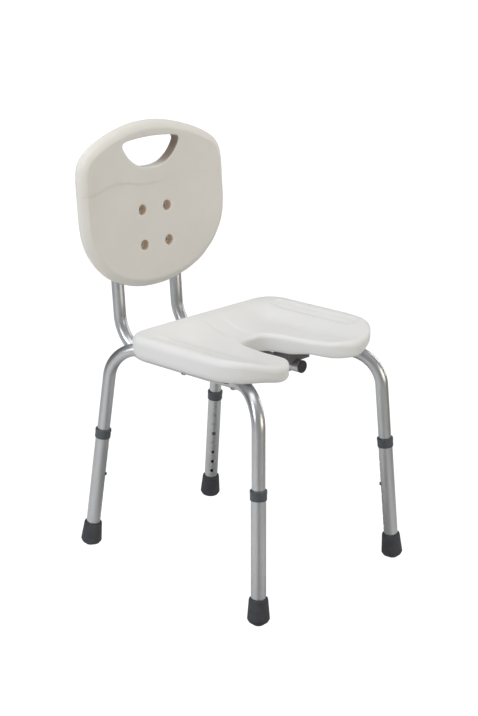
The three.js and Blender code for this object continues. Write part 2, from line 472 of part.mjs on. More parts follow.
function ringLoft(profileFor, loop) {
  // loop: [x, z] points; profileFor: list of [inset, depth]
  return profileFor.map(([d, y]) => insetLoop(loop, d).map(([x, z]) => panel(x, z, y)));
}
{
  const loop = backOutline();
  const prof = [[12, 0.4], [5.5, 2.0], [0.8, 8], [0.2, 16], [3.4, 22], [10, 25]];
  const loops = ringLoft(prof, loop);
  // in the x-z plane the sweep goes from front to back: build as a loft in (x, z) with y as height
  const n = loop.length, pos = [], idx = [];
  for (const L of loops) for (const p of L) pos.push(...p);
  for (let k = 0; k < loops.length - 1; k++) for (let i = 0; i < n; i++) {
    const j = (i + 1) % n, a = k * n + i, b = k * n + j, c = a + n, d = b + n;
    idx.push(a, d, b, a, c, d);
  }
  // caps follow the curved face on a grid of ribs
  const cap = (k, flip) => {
    const L = loops[k], o = k * n;
    // pairs of left/right points at the same height form strips; the face bends only across x
    const cols = [-1, -0.6, -0.2, 0.2, 0.6, 1];
    const rows = [];
    for (let i = 0; i <= n / 2; i++) {
      const li = i, ri = (n - i) % n;
      if (li === ri || i === n / 2) { rows.push([o + li]); continue; }
      const pl = L[li], pr = L[ri], row = [];
      cols.forEach((c, ci) => {
        if (ci === 0) row.push(o + li);
        else if (ci === cols.length - 1) row.push(o + ri);
        else {
          const x = pl[0] + (pr[0] - pl[0]) * (c + 1) / 2, z = (pl[2] + pr[2]) / 2;
          pos.push(...panel(x, z, prof[k][1]));
          row.push(pos.length / 3 - 1);
        }
      });
      rows.push(row);
    }
    for (let i = 0; i < rows.length - 1; i++) {
      const A = rows[i], B = rows[i + 1];
      const tri = (a, b, c) => (flip ? idx.push(a, c, b) : idx.push(a, b, c));
      if (A.length === 1) for (let j = 0; j < B.length - 1; j++) tri(A[0], B[j], B[j + 1]);
      else if (B.length === 1) for (let j = 0; j < A.length - 1; j++) tri(A[j], B[0], A[j + 1]);
      else for (let j = 0; j < A.length - 1; j++) { tri(A[j], B[j], B[j + 1]); tri(A[j], B[j + 1], A[j + 1]); }
    }
  };
  cap(0, false);
  cap(loops.length - 1, true);
  const g = new THREE.BufferGeometry();
  g.setAttribute('position', new THREE.Float32BufferAttribute(pos, 3));
  g.setIndex(idx);
  let m = solid(g);
  // hand hole
  const hs = new THREE.Shape();
  handle.forEach(([x, z], i) => (i ? hs.lineTo(x, z) : hs.moveTo(x, z)));
  hs.closePath();
  const hg = new THREE.ExtrudeGeometry(hs, { depth: 90, bevelEnabled: false });
  hg.applyMatrix4(new THREE.Matrix4().makeBasis(V(1, 0, 0), V(0, 0, 1), V(0, -1, 0)).setPosition(V(0, 290, 0)));
  m = m.subtract(solid(hg));
  // four screws with counterbores
  const n0 = V(0, 1, -RECLINE).normalize();
  for (const [row, z] of [['upper', 705], ['lower', 632]]) for (const [side, sx] of [['left', -1], ['right', 1]]) {
    const p = V(sx * 35, faceY(z) - CURVE * 35 * 35, z);
    m = m.subtract(drill(p, n0, 11, -10, 14, 12)).subtract(drill(p, n0, BOLT_R + 0.3, 0, 40, 8));
    const screw = turned([[0, -4.4], [4.0, -4.4], [6.6, -1.8], [6.6, 0], [BOLT_R, 0], [BOLT_R, 18], [0, 18]], 8);
    put(`backrest_screw_${row}_${side}`, aim(screw, p.clone().add(n0.clone().multiplyScalar(13.7)), n0), mats.steel);
  }
  put('backrest_shell', toGeometry(m), mats.hdpe);
  // cross bars welded between the back tubes: their middle steps forward to the shell
  for (const [row, z] of [['upper', 705], ['lower', 632]]) {
    const back = faceY(z) + BACKREST_T + 0.35, d = tubeY(z) - BAR_T / 2 - back, e = BACK_X - UPPER_R - 0.35;
    const path = [[-e, d], [-65, d], [-52, 0], [52, 0], [65, d], [e, d]];
    const s = new THREE.Shape();
    [...path, ...path.map(([x, y]) => [x, y + BAR_T]).reverse()].forEach(([a, b], i) => (i ? s.lineTo(a, b) : s.moveTo(a, b)));
    s.closePath();
    const g = new THREE.ExtrudeGeometry(s, { depth: 26, bevelEnabled: false });
    g.translate(0, 0, -13);
    // across, backwards, and down the back
    g.applyMatrix4(new THREE.Matrix4().makeBasis(V(1, 0, 0), n0, V(1, 0, 0).cross(n0)).setPosition(V(0, back, z)));
    let b = solid(g);
    for (const sx of [-1, 1]) b = b.subtract(drill(V(sx * 35, faceY(z) - CURVE * 35 * 35, z), n0, BOLT_R + 0.3, 10, 60, 8));
    put(`${row}_back_bar`, toGeometry(b), mats.alu);
  }
}

export default root;
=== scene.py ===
import math
import bpy
import numpy as np
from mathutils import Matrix, Quaternion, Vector
from mathutils.geometry import delaunay_2d_cdt


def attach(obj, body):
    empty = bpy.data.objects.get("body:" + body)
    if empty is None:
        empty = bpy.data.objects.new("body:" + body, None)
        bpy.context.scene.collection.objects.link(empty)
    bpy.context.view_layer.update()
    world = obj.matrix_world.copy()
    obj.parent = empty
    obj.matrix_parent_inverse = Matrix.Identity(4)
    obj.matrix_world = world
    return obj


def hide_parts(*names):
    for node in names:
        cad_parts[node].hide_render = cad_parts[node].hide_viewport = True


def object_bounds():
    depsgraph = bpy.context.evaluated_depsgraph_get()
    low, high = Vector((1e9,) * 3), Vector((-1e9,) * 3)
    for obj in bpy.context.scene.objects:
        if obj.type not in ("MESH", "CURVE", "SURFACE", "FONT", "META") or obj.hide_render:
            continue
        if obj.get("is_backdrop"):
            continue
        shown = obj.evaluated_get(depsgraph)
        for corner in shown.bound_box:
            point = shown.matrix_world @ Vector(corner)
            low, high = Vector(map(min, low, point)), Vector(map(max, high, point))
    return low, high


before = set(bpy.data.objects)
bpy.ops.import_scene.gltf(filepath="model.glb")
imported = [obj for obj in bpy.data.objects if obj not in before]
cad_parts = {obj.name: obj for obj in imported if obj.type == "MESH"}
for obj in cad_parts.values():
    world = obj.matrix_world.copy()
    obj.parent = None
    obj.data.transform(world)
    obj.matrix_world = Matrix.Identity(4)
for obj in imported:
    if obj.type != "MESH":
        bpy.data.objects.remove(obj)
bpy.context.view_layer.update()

# ---------------------------------------------------------------- dimensions (millimetres, as the CAD model)
YS = -6.2
FOOT_FRONT, FOOT_REAR = (207.2, -253.6), (181.9, 253.6)
COLLAR_Z = 255.1
COLLAR_FRONT, COLLAR_REAR = (192.1, -238.6), (167.6, 222.4)
BOW_Z, BOW_HEADING = 445.0, 67.8
LEG_BEND_R, BOW_BEND_R = 72.0, 160.0
UPPER_R, UPPER_BORE = 13.0, 11.5
LOWER_R, LOWER_BORE = 14.5, 13.3
INNER_END, LOWER_TOP, LOWER_END = 130.0, -8.0, 246.0
BUTTON_S, HOLE_PITCH, HOLE_R, BUTTON_R = 91.75, 24.0, 4.0, 3.6
INWARD = (0.643, 0.766)
BACK_X, BACK_Z, BACK_BEND_R, BACK_BEND_Y, BACK_FRONT_Y = 83.0, 413.0, 80.0, 172.0, -104.0
RECLINE, BACK_TOP_Z = 0.07, 768.0
SEAT_T, SEAT_B, SEAT_RECESS = 504.0, 453.0, 458.4
BACKREST_T = 25.0
SADDLE_Y = {"front": -71.0, "rear": 66.0}
BOW_BOLTS = (100.0, 86.0)
SCREW_ROWS = {"upper": 705.0, "lower": 632.0}
SCREW_X = 35.0


def vec(*a):
    return np.array(a, float)


def unit(a):
    return a / np.linalg.norm(a)


def smooth(t):
    t = np.clip(t, 0.0, 1.0)
    return t * t * (3 - 2 * t)


# ---------------------------------------------------------------- meshes
def make(name, verts, faces, material, body, node=None, sharp=None, uvs=None, smooth_faces=True):
    """A mesh from points in millimetres; it rides on a CAD body and stands for a CAD node."""
    me = bpy.data.meshes.new(name)
    v = np.asarray(verts, float).copy()
    v[:, 1] += YS
    me.from_pydata([tuple(p) for p in v * 0.001], [], [tuple(int(i) for i in f) for f in faces])
    me.validate()
    if uvs is not None:
        layer = me.uv_layers.new(name="Sweep")
        for poly in me.polygons:
            ks = [me.loops[li].vertex_index for li in poly.loop_indices]
            uu = [uvs[k][0] for k in ks]
            wrap = max(uu) - min(uu) > 0.5
            for li, k in zip(poly.loop_indices, ks):
                u, w = uvs[k]
                layer.data[li].uv = (u + 1.0 if wrap and u < 0.5 else u, w)
    me.polygons.foreach_set("use_smooth", [smooth_faces] * len(me.polygons))
    if sharp is not None:
        me.set_sharp_from_angle(angle=math.radians(sharp))
    me.materials.append(material)
    me.update()
    o = bpy.data.objects.new(name, me)
    bpy.context.scene.collection.objects.link(o)
    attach(o, body)
    if node:
        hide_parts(node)
    return o


class Builder:
    """Collects points and faces of one piece."""

    def __init__(self):
        self.v, self.f, self.uv = [], [], []

    def add(self, pts, uvs=None):
        start = len(self.v)
        self.v.extend(np.asarray(pts, float))
        self.uv.extend(uvs if uvs is not None else [(0.0, 0.0)] * len(pts))
        return list(range(start, start + len(pts)))

    def bridge(self, a, b, closed=True, flip=False):
        n = len(a)
        for i in range(n if closed else n - 1):
            j = (i + 1) % n
            q = [a[i], a[j], b[j], b[i]]
            self.f.append(q[::-1] if flip else q)

    def tris(self, ids, tris, flip=False):
        for t in tris:
            q = [ids[t[0]], ids[t[1]], ids[t[2]]]
            self.f.append(q[::-1] if flip else q)

    def fan(self, ring, centre, flip=False):
        c = self.add([centre])[0]
        n = len(ring)
        for i in range(n):
            q = [ring[i], ring[(i + 1) % n], c]
            self.f.append(q[::-1] if flip else q)


def basis(zdir, xhint=None):
    z = unit(np.asarray(zdir, float))
    x = np.asarray(xhint, float) if xhint is not None else (vec(1, 0, 0) if abs(z[2]) > 0.9 else vec(0, 0, 1))
    x = unit(x - z * np.dot(x, z))
    return x, np.cross(z, x), z


def fillet(points, radii, steps=5):
    """Rounds the corners of an open 2-D profile."""
    pts = [np.array(p, float) for p in points]
    out = [pts[0]]
    for i in range(1, len(pts) - 1):
        r = radii[i] if isinstance(radii, (list, tuple)) else radii
        p, a, b = pts[i], pts[i - 1], pts[i + 1]
        if r <= 0:
            out.append(p)
            continue
        u, w = unit(a - p), unit(b - p)
        ang = math.acos(np.clip(np.dot(u, w), -1, 1))
        if ang > math.pi - 0.02:
            out.append(p)
            continue
        t = min(r / math.tan(ang / 2), 0.48 * np.linalg.norm(a - p), 0.48 * np.linalg.norm(b - p))
        rr = t * math.tan(ang / 2)
        c = p + unit(u + w) * (rr / math.sin(ang / 2))
        s, e = p + u * t, p + w * t
        a0 = s - c
        a1 = e - c
        for k in range(steps + 1):
            q = k / steps
            d = unit(a0 * (1 - q) + a1 * q) * rr
            out.append(c + d)
    out.append(pts[-1])
    return out


def lathe(name, profile, origin, zdir, material, body, node=None, segs=48, xhint=None, sharp=38, cut_floor=False):
    """A profile of (r, z) turned about an axis; it starts and ends on the axis, or closes on itself."""
    x, y, z = basis(zdir, xhint)
    b = Builder()
    rings = []
    run = 0.0
    last = None
    for r, h in profile:
        if last is not None:
            run += math.hypot(r - last[0], h - last[1])
        last = (r, h)
        if r < 1e-6:
            rings.append(b.add([origin + z * h], [(0.5, run * 0.01)]))
        else:
            th = np.linspace(0, 2 * math.pi, segs, endpoint=False)
            rings.append(b.add([origin + z * h + (x * math.cos(t) + y * math.sin(t)) * r for t in th], [(i / segs, run * 0.01) for i in range(segs)]))
    closed = profile[0][0] > 1e-6
    n = len(rings)
    for k in range(n if closed else n - 1):
        p, q = rings[k], rings[(k + 1) % n]
        if len(p) == 1 and len(q) == 1:
            continue
        if len(p) == 1:
            for i in range(segs):
                b.f.append([p[0], q[(i + 1) % segs], q[i]])
        elif len(q) == 1:
            for i in range(segs):
                b.f.append([p[i], p[(i + 1) % segs], q[0]])
        else:
            b.bridge(p, q)
    v = np.array(b.v)
    if cut_floor:
        low = v[:, 2] < 0
        v[low, 2] = 0.0
    # outward faces
    area = 0.0
    for f in b.f[:400000]:
        p0 = v[f[0]]
        for k in range(1, len(f) - 1):
            area += np.dot(p0 - origin, np.cross(v[f[k]] - origin, v[f[k + 1]] - origin))
    if area < 0:
        b.f = [f[::-1] for f in b.f]
    return make(name, v, b.f, material, body, node, sharp, b.uv)


def frames(pts):
    n = len(pts)
    tan = []
    for i in range(n):
        t = np.zeros(3)
        if i > 0:
            t += unit(pts[i] - pts[i - 1])
        if i < n - 1:
            t += unit(pts[i + 1] - pts[i])
        tan.append(unit(t))
    nrm = vec(1, 0, 0) if abs(tan[0][2]) > 0.9 else vec(0, 0, 1)
    out = []
    for t in tan:
        nrm = unit(nrm - t * np.dot(nrm, t))
        out.append((t, nrm, np.cross(t, nrm)))
    return out


def sweep(name, pts, r, bore, material, body, node=None, segs=56):
    """A tube along points, with slightly broken edges at its ends."""
    pts = [np.array(p, float) for p in pts]
    fr = frames(pts)
    b = Builder()
    th = np.linspace(0, 2 * math.pi, segs, endpoint=False)
    ct, st = np.cos(th), np.sin(th)

    def ring(i, rad, shift=0.0, run=0.0):
        t, nn, bb = fr[i]
        p = pts[i] + t * shift
        return b.add(p + rad * (ct[:, None] * nn + st[:, None] * bb), [(k / segs, run * 0.01) for k in range(segs)])

    length = np.concatenate([[0], np.cumsum([np.linalg.norm(pts[i + 1] - pts[i]) for i in range(len(pts) - 1)])])
    ch = 0.5
    outer = [ring(0, r - ch, 0.0, 0), ring(0, r, ch, ch)]
    outer += [ring(i, r, 0.0, length[i]) for i in range(1, len(pts) - 1)]
    outer += [ring(-1, r, -ch, length[-1] - ch), ring(-1, r - ch, 0.0, length[-1])]
    for p, q in zip(outer, outer[1:]):
        b.bridge(p, q, flip=False)
    inner = [ring(0, bore + 0.3, 0.0, 0)] + [ring(i, bore, 0.0, length[i]) for i in range(1, len(pts) - 1)] + [ring(-1, bore + 0.3, 0.0, length[-1])]
    for p, q in zip(inner, inner[1:]):
        b.bridge(p, q, flip=True)
    b.bridge(inner[0], outer[0], flip=False)
    b.bridge(outer[-1], inner[-1], flip=False)
    return make(name, b.v, b.f, material, body, node, 40, b.uv)


def filleted_path(vertices, radii, steps=28):
    out = [np.array(vertices[0], float)]
    for i in range(1, len(vertices) - 1):
        v = np.array(vertices[i], float)
        a, c = unit(v - vertices[i - 1]), unit(vertices[i + 1] - v)
        turn = math.acos(np.clip(np.dot(a, c), -1, 1))
        R = radii[i - 1]
        s = v - a * R * math.tan(turn / 2)
        nn = unit(c - a * np.dot(a, c))
        for k in range(steps + 1):
            t = turn * k / steps
            out.append(s + a * R * math.sin(t) + nn * R * (1 - math.cos(t)))
    out.append(np.array(vertices[-1], float))
    return out


# ---------------------------------------------------------------- plane regions
def inside(points, loop):
    """Even-odd test of many points against one closed loop."""
    p = np.asarray(points, float)
    a = np.asarray(loop, float)
    c = np.roll(a, -1, 0)
    x, y = p[:, 0][:, None], p[:, 1][:, None]
    cond = (a[:, 1] > y) != (c[:, 1] > y)
    with np.errstate(divide="ignore", invalid="ignore"):
        xi = (c[:, 0] - a[:, 0]) * (y - a[:, 1]) / (c[:, 1] - a[:, 1]) + a[:, 0]
    return (np.sum(cond & (x < xi), 1) % 2) == 1


def distance(points, loop, closed=True):
    p = np.asarray(points, float)
    a = np.asarray(loop, float)
    c = np.roll(a, -1, 0) if closed else a[1:]
    a = a if closed else a[:-1]
    best = np.full(len(p), 1e9)
    for s in range(0, len(p), 2000):
        q = p[s:s + 2000]
        d = c - a
        t = np.clip(np.einsum("ijk,jk->ij", q[:, None, :] - a[None], d) / np.maximum((d * d).sum(1), 1e-12), 0, 1)
        near = a[None] + t[..., None] * d[None]
        best[s:s + 2000] = np.sqrt(((q[:, None, :] - near) ** 2).sum(2)).min(1)
    return best


def region(outer, holes, spacing, extra=(), lines=(), margin=None):
    """Triangles of a plane region. Returns points, triangles and the point numbers of each loop."""
    margin = spacing * 0.6 if margin is None else margin
    lo, hi = np.min(outer, 0), np.max(outer, 0)
    gx, gy = np.meshgrid(np.arange(lo[0], hi[0], spacing), np.arange(lo[1], hi[1], spacing * 0.866))
    gx[1::2] += spacing / 2
    grid = np.stack([gx.ravel(), gy.ravel()], 1)
    keep = inside(grid, outer) & (distance(grid, outer) > margin)
    for h in holes:
        keep &= ~inside(grid, h) & (distance(grid, h) > margin)
    for l in lines:
        keep &= distance(grid, l, closed=False) > spacing * 0.35
    sets = [np.asarray(outer, float)] + [np.asarray(h, float) for h in holes]
    pts, edges, spans = [], [], []
    for s in sets:
        o = len(pts)
        pts.extend(map(tuple, s))
        edges.extend((o + i, o + (i + 1) % len(s)) for i in range(len(s)))
        spans.append((o, o + len(s)))
    for l in lines:
        o = len(pts)
        pts.extend(map(tuple, l))
        edges.extend((o + i, o + i + 1) for i in range(len(l) - 1))
    pts.extend(map(tuple, grid[keep]))
    if len(extra):
        pts.extend(map(tuple, extra))
    r = delaunay_2d_cdt([Vector(p) for p in pts], edges, [], 0, 1e-5, True)
    co = np.array([tuple(p) for p in r[0]])
    new = {}
    for i, ids in enumerate(r[3]):
        for k in ids:
            new[k] = i
    tri = np.array([f for f in r[2] if len(f) == 3])
    cen = co[tri].mean(1)
    ok = inside(cen, outer)
    for h in holes:
        ok &= ~inside(cen, h)
    tri = tri[ok]
    a, b_, c = co[tri[:, 0]], co[tri[:, 1]], co[tri[:, 2]]
    neg = (b_[:, 0] - a[:, 0]) * (c[:, 1] - a[:, 1]) - (b_[:, 1] - a[:, 1]) * (c[:, 0] - a[:, 0]) < 0
    tri[neg] = tri[neg][:, ::-1]
    return co, tri, [[new[k] for k in range(s, e)] for s, e in spans]


def resample(pts, step, closed=True):
    p = np.asarray(pts, float)
    q = np.vstack([p, p[:1]]) if closed else p
    seg = np.linalg.norm(np.diff(q, axis=0), axis=1)
    s = np.concatenate([[0], np.cumsum(seg)])
    n = max(int(round(s[-1] / step)), 8)
    t = np.linspace(0, s[-1], n, endpoint=not closed)
    return np.stack([np.interp(t, s, q[:, k]) for k in range(q.shape[1])], 1)


def spline(ctrl, per=14, closed=False):
    """Centripetal Catmull-Rom curve through control points."""
    p = [np.array(c, float) for c in ctrl]
    n = len(p)
    out = []
    rng = range(n) if closed else range(n - 1)
    for i in rng:
        p1, p2 = p[i % n], p[(i + 1) % n]
        p0 = p[(i - 1) % n] if closed or i > 0 else 2 * p1 - p2
        p3 = p[(i + 2) % n] if closed or i + 2 < n else 2 * p2 - p1
        t0, t1 = 0.0, np.linalg.norm(p1 - p0) ** 0.5
        t2 = t1 + np.linalg.norm(p2 - p1) ** 0.5
        t3 = t2 + np.linalg.norm(p3 - p2) ** 0.5
        for k in range(per):
            t = t1 + (t2 - t1) * k / per
            a1 = (t1 - t) / (t1 - t0) * p0 + (t - t0) / (t1 - t0) * p1
            a2 = (t2 - t) / (t2 - t1) * p1 + (t - t1) / (t2 - t1) * p2
            a3 = (t3 - t) / (t3 - t2) * p2 + (t - t2) / (t3 - t2) * p3
            b1 = (t2 - t) / (t2 - t0) * a1 + (t - t0) / (t2 - t0) * a2
            b2 = (t3 - t) / (t3 - t1) * a2 + (t - t1) / (t3 - t1) * a3
            out.append((t2 - t) / (t2 - t1) * b1 + (t - t1) / (t2 - t1) * b2)
    if not closed:
        out.append(p[-1])
    return np.array(out)


def normals2(loop):
    """Inward normals of an anticlockwise loop."""
    d = np.roll(loop, -1, 0) - np.roll(loop, 1, 0)
    d /= np.linalg.norm(d, axis=1)[:, None]
    return np.stack([-d[:, 1], d[:, 0]], 1)


def soften(values, times, closed=True):
    v = values.copy()
    for _ in range(times):
        v = (np.roll(v, 1, 0) + 2 * v + np.roll(v, -1, 0)) / 4
    return v


# ---------------------------------------------------------------- materials
def nodes_of(name, slot_color, rough, metal, **more):
    m = bpy.data.materials.new(name)
    m.use_nodes = True
    nt = m.node_tree
    bsdf = next(n for n in nt.nodes if n.type == "BSDF_PRINCIPLED")
    bsdf.inputs["Base Color"].default_value = (*slot_color, 1)
    bsdf.inputs["Roughness"].default_value = rough
    bsdf.inputs["Metallic"].default_value = metal
    for k, v in more.items():
        bsdf.inputs[k.replace("_", " ")].default_value = v
    return m, nt, bsdf


def mapped(nt, scale, uv=False):
    if uv:
        t = nt.nodes.new("ShaderNodeUVMap")
        t.uv_map = "Sweep"
        out = t.outputs["UV"]
    else:
        t = nt.nodes.new("ShaderNodeTexCoord")
        out = t.outputs["Object"]
    mp = nt.nodes.new("ShaderNodeMapping")
    mp.inputs["Scale"].default_value = scale
    nt.links.new(out, mp.inputs["Vector"])
    return mp.outputs["Vector"]


def noise(nt, vector, scale, detail=4, rough=0.55):
    n = nt.nodes.new("ShaderNodeTexNoise")
    n.inputs["Scale"].default_value = scale
    n.inputs["Detail"].default_value = detail
    n.inputs["Roughness"].default_value = rough
    nt.links.new(vector, n.inputs["Vector"])
    return n.outputs["Fac"]


def ramp(nt, fac, stops):
    r = nt.nodes.new("ShaderNodeValToRGB")
    el = r.color_ramp.elements
    el[0].position, el[0].color = stops[0][0], (*stops[0][1], 1)
    el[1].position, el[1].color = stops[-1][0], (*stops[-1][1], 1)
    for p, c in stops[1:-1]:
        e = el.new(p)
        e.color = (*c, 1)
    nt.links.new(fac, r.inputs["Fac"])
    return r.outputs["Color"]


def span(nt, fac, lo, hi):
    m = nt.nodes.new("ShaderNodeMapRange")
    m.inputs["To Min"].default_value, m.inputs["To Max"].default_value = lo, hi
    m.inputs["From Min"].default_value, m.inputs["From Max"].default_value = 0.25, 0.75
    nt.links.new(fac, m.inputs["Value"])
    return m.outputs["Result"]


def bumps(nt, bsdf, parts):
    last = None
    for fac, strength, dist in parts:
        b = nt.nodes.new("ShaderNodeBump")
        b.inputs["Strength"].default_value = strength
        b.inputs["Distance"].default_value = dist
        nt.links.new(fac, b.inputs["Height"])
        if last is not None:
            nt.links.new(last, b.inputs["Normal"])
        last = b.outputs["Normal"]
    nt.links.new(last, bsdf.inputs["Normal"])


def hdpe(name, a, b):
    """Blow-moulded polyethylene: fine sandblasted mould texture, faint cloudiness and slow unevenness of the wall."""
    m, nt, s = nodes_of(name, a, 0.46, 0.0, Subsurface_Weight=0.06, Subsurface_Scale=0.006, IOR=1.5)
    s.inputs["Subsurface Radius"].default_value = (1.0, 0.85, 0.7)
    s.inputs["Specular IOR Level"].default_value = 0.42
    o = mapped(nt, (1, 1, 1))
    cloud = noise(nt, o, 9, 3, 0.5)
    grain = noise(nt, o, 900, 3, 0.6)
    swirl = noise(nt, o, 34, 4, 0.6)
    nt.links.new(ramp(nt, cloud, [(0.3, a), (0.7, b)]), s.inputs["Base Color"])
    nt.links.new(span(nt, swirl, 0.40, 0.54), s.inputs["Roughness"])
    bumps(nt, s, [(grain, 0.22, 0.00025), (swirl, 0.10, 0.0006)])
    return m


def aluminium(name, dark, light, rough=(0.30, 0.40)):
    """Satin anodised tube: faint drawing lines along the tube over a matt grain."""
    m, nt, s = nodes_of(name, light, 0.34, 1.0)
    uv = mapped(nt, (220, 1.4, 1), uv=True)
    o = mapped(nt, (1, 1, 1))
    lines = noise(nt, uv, 1.0, 4, 0.65)
    grain = noise(nt, o, 2400, 2, 0.5)
    cloud = noise(nt, o, 22, 3, 0.55)
    nt.links.new(ramp(nt, lines, [(0.28, dark), (0.55, light), (0.8, tuple(min(1, c * 1.06) for c in light))]), s.inputs["Base Color"])
    nt.links.new(span(nt, cloud, *rough), s.inputs["Roughness"])
    bumps(nt, s, [(lines, 0.05, 0.0002), (grain, 0.05, 0.00012)])
    return m


def rubber(name, a, b):
    """Moulded rubber: matt, with a fine grain and a dusting that lightens it in random patches."""
    m, nt, s = nodes_of(name, a, 0.62, 0.0)
    s.inputs["Specular IOR Level"].default_value = 0.4
    o = mapped(nt, (1, 1, 1))
    cloud = noise(nt, o, 60, 5, 0.65)
    grain = noise(nt, o, 1300, 2, 0.6)
    nt.links.new(ramp(nt, cloud, [(0.3, a), (0.72, b)]), s.inputs["Base Color"])
    nt.links.new(span(nt, cloud, 0.55, 0.72), s.inputs["Roughness"])
    bumps(nt, s, [(grain, 0.3, 0.0002)])
    return m


def plastic(name, a, b, rough=(0.36, 0.5)):
    """Injection-moulded plastic: even colour with slight flow marks and a fine spark-eroded texture."""
    m, nt, s = nodes_of(name, a, 0.42, 0.0)
    o = mapped(nt, (1, 1, 1))
    flow = noise(nt, o, 45, 3, 0.6)
    grain = noise(nt, o, 1500, 2, 0.6)
    nt.links.new(ramp(nt, flow, [(0.3, a), (0.7, b)]), s.inputs["Base Color"])
    nt.links.new(span(nt, flow, *rough), s.inputs["Roughness"])
    bumps(nt, s, [(grain, 0.25, 0.00018)])
    return m


def steel(name, a, b):
    """Bright zinc-plated steel with a faint mottled bloom."""
    m, nt, s = nodes_of(name, a, 0.3, 1.0)
    o = mapped(nt, (1, 1, 1))
    bloom = noise(nt, o, 180, 4, 0.6)
    grain = noise(nt, o, 2600, 2, 0.5)
    nt.links.new(ramp(nt, bloom, [(0.3, a), (0.7, b)]), s.inputs["Base Color"])
    nt.links.new(span(nt, bloom, 0.24, 0.4), s.inputs["Roughness"])
    bumps(nt, s, [(grain, 0.15, 0.0001)])
    return m


M_SEAT = hdpe("seat_plastic", (0.765, 0.760, 0.750), (0.795, 0.791, 0.782))
# the backrest is the seat's plastic in a warmer, slightly darker colour: painted warm light and shade on the backrest
# face
M_BACK = hdpe("back_plastic", (0.750, 0.728, 0.680), (0.785, 0.765, 0.722))
M_ALU = aluminium("satin_aluminium", (0.46, 0.465, 0.475), (0.56, 0.565, 0.575), (0.27, 0.35))
M_TIP = rubber("tip_rubber", (0.036, 0.037, 0.044), (0.060, 0.061, 0.070))
M_COLLAR = plastic("collar_plastic", (0.060, 0.068, 0.078), (0.080, 0.088, 0.098))
M_PLUG = plastic("plug_plastic", (0.022, 0.024, 0.026), (0.034, 0.036, 0.038))
M_BRACKET = plastic("bracket_plastic", (0.125, 0.120, 0.118), (0.160, 0.153, 0.150), (0.4, 0.55))
M_STEEL = steel("zinc_steel", (0.46, 0.47, 0.48), (0.60, 0.605, 0.61))
M_PIN = steel("button_steel", (0.10, 0.10, 0.105), (0.17, 0.17, 0.175))
M_STRAP = plastic("strap_coating", (0.030, 0.031, 0.033), (0.045, 0.046, 0.048), (0.34, 0.48))

# the CAD nodes that stay as they are, inside the tubes and tips
for n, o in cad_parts.items():
    o.data.materials.clear()
    o.data.materials.append(M_STEEL)

# ---------------------------------------------------------------- legs
legs = {}
for name, sx, sy, foot, col in (
    ("front_left", -1, -1, FOOT_FRONT, COLLAR_FRONT), ("front_right", 1, -1, FOOT_FRONT, COLLAR_FRONT),
    ("rear_left", -1, 1, FOOT_REAR, COLLAR_REAR), ("rear_right", 1, 1, FOOT_REAR, COLLAR_REAR),
):
    f, c = vec(sx * foot[0], foot[1], 11), vec(sx * col[0], col[1], COLLAR_Z)
    down = unit(f - c)
    inw = vec(-sx * INWARD[0], -sy * INWARD[1], 0)
    inw = unit(inw - down * np.dot(inw, down))
    legs[name] = dict(c=c, down=down, inw=inw, side=np.cross(down, inw), knee=c - down * ((BOW_Z - COLLAR_Z) / -down[2]), floor=COLLAR_Z / -down[2])


def lower_tube(name, leg, body):
    """Outer leg tube with its row of drilled holes, as a rolled-up sheet of real thickness."""
    L, R, r = LOWER_END - LOWER_TOP, LOWER_R, LOWER_BORE
    W = math.pi * R
    cols, rows = 60, 22
    us = np.linspace(-W, W, cols + 1)
    ss = np.linspace(0, L, rows + 1)
    outer = [(u, 0.0) for u in us] + [(W, s) for s in ss[1:]] + [(u, L) for u in us[::-1][1:]] + [(-W, s) for s in ss[::-1][1:-1]]
    holes, extra = [], []
    for i in range(-3, 5):
        s0 = BUTTON_S + i * HOLE_PITCH - LOWER_TOP
        th = np.linspace(0, 2 * math.pi, 28, endpoint=False)
        holes.append(np.stack([(HOLE_R + 0.8) * np.cos(th), s0 + (HOLE_R + 0.8) * np.sin(th)], 1))
        for q in (5.7, 7.0):
            extra.extend((q * math.cos(t), s0 + q * math.sin(t)) for t in th[::2])
    grid = [(u, s) for u in us[1:-1] for s in ss[1:-1]]
    grid = [g for g in grid if all(math.hypot(g[0], g[1] - h[:, 1].mean()) > 8.2 for h in holes)]
    co, tri, loops = region(np.array(outer), holes, 1e6, extra=list(extra) + grid)
    b = Builder()
    c, dn, inw, side = leg["c"], leg["down"], leg["inw"], leg["side"]

    def roll(p, rad):
        a = p[:, 0] / R
        return c + np.outer(p[:, 1] + LOWER_TOP, dn) + rad * (np.outer(np.cos(a), inw) + np.outer(np.sin(a), side))

    def uv(p):
        return [(q[0] / (2 * W) + 0.5, q[1] * 0.01) for q in p]

    out_ids = b.add(roll(co, R), uv(co))
    in_ids = b.add(roll(co, r), uv(co))
    b.tris(out_ids, tri, True)
    b.tris(in_ids, tri, False)
    # mouth and far end
    n = cols
    for seq in (list(range(0, n + 1)), None):
        if seq is None:
            seq = list(range(n + rows, 2 * n + rows + 1))
        ids = [loops[0][k] for k in seq]
        b.bridge([out_ids[k] for k in ids], [in_ids[k] for k in ids], closed=False)
    # broken edge and wall of each hole
    for h, loop in zip(holes, loops[1:]):
        s0 = h[:, 1].mean()
        d = co[loop] - [0, s0]
        small = d * (HOLE_R / (HOLE_R + 0.8)) + [0, s0]
        o1 = [out_ids[k] for k in loop]
        o2 = b.add(roll(small, R - 0.65), uv(small))
        i1 = [in_ids[k] for k in loop]
        b.bridge(o1, o2, flip=True)
        b.bridge(o2, i1, flip=True)
    o = make(name, b.v, b.f, M_ALU, body, f"{body.replace('_lower_leg', '')}_lower_leg_tube", 35, b.uv)
    return o


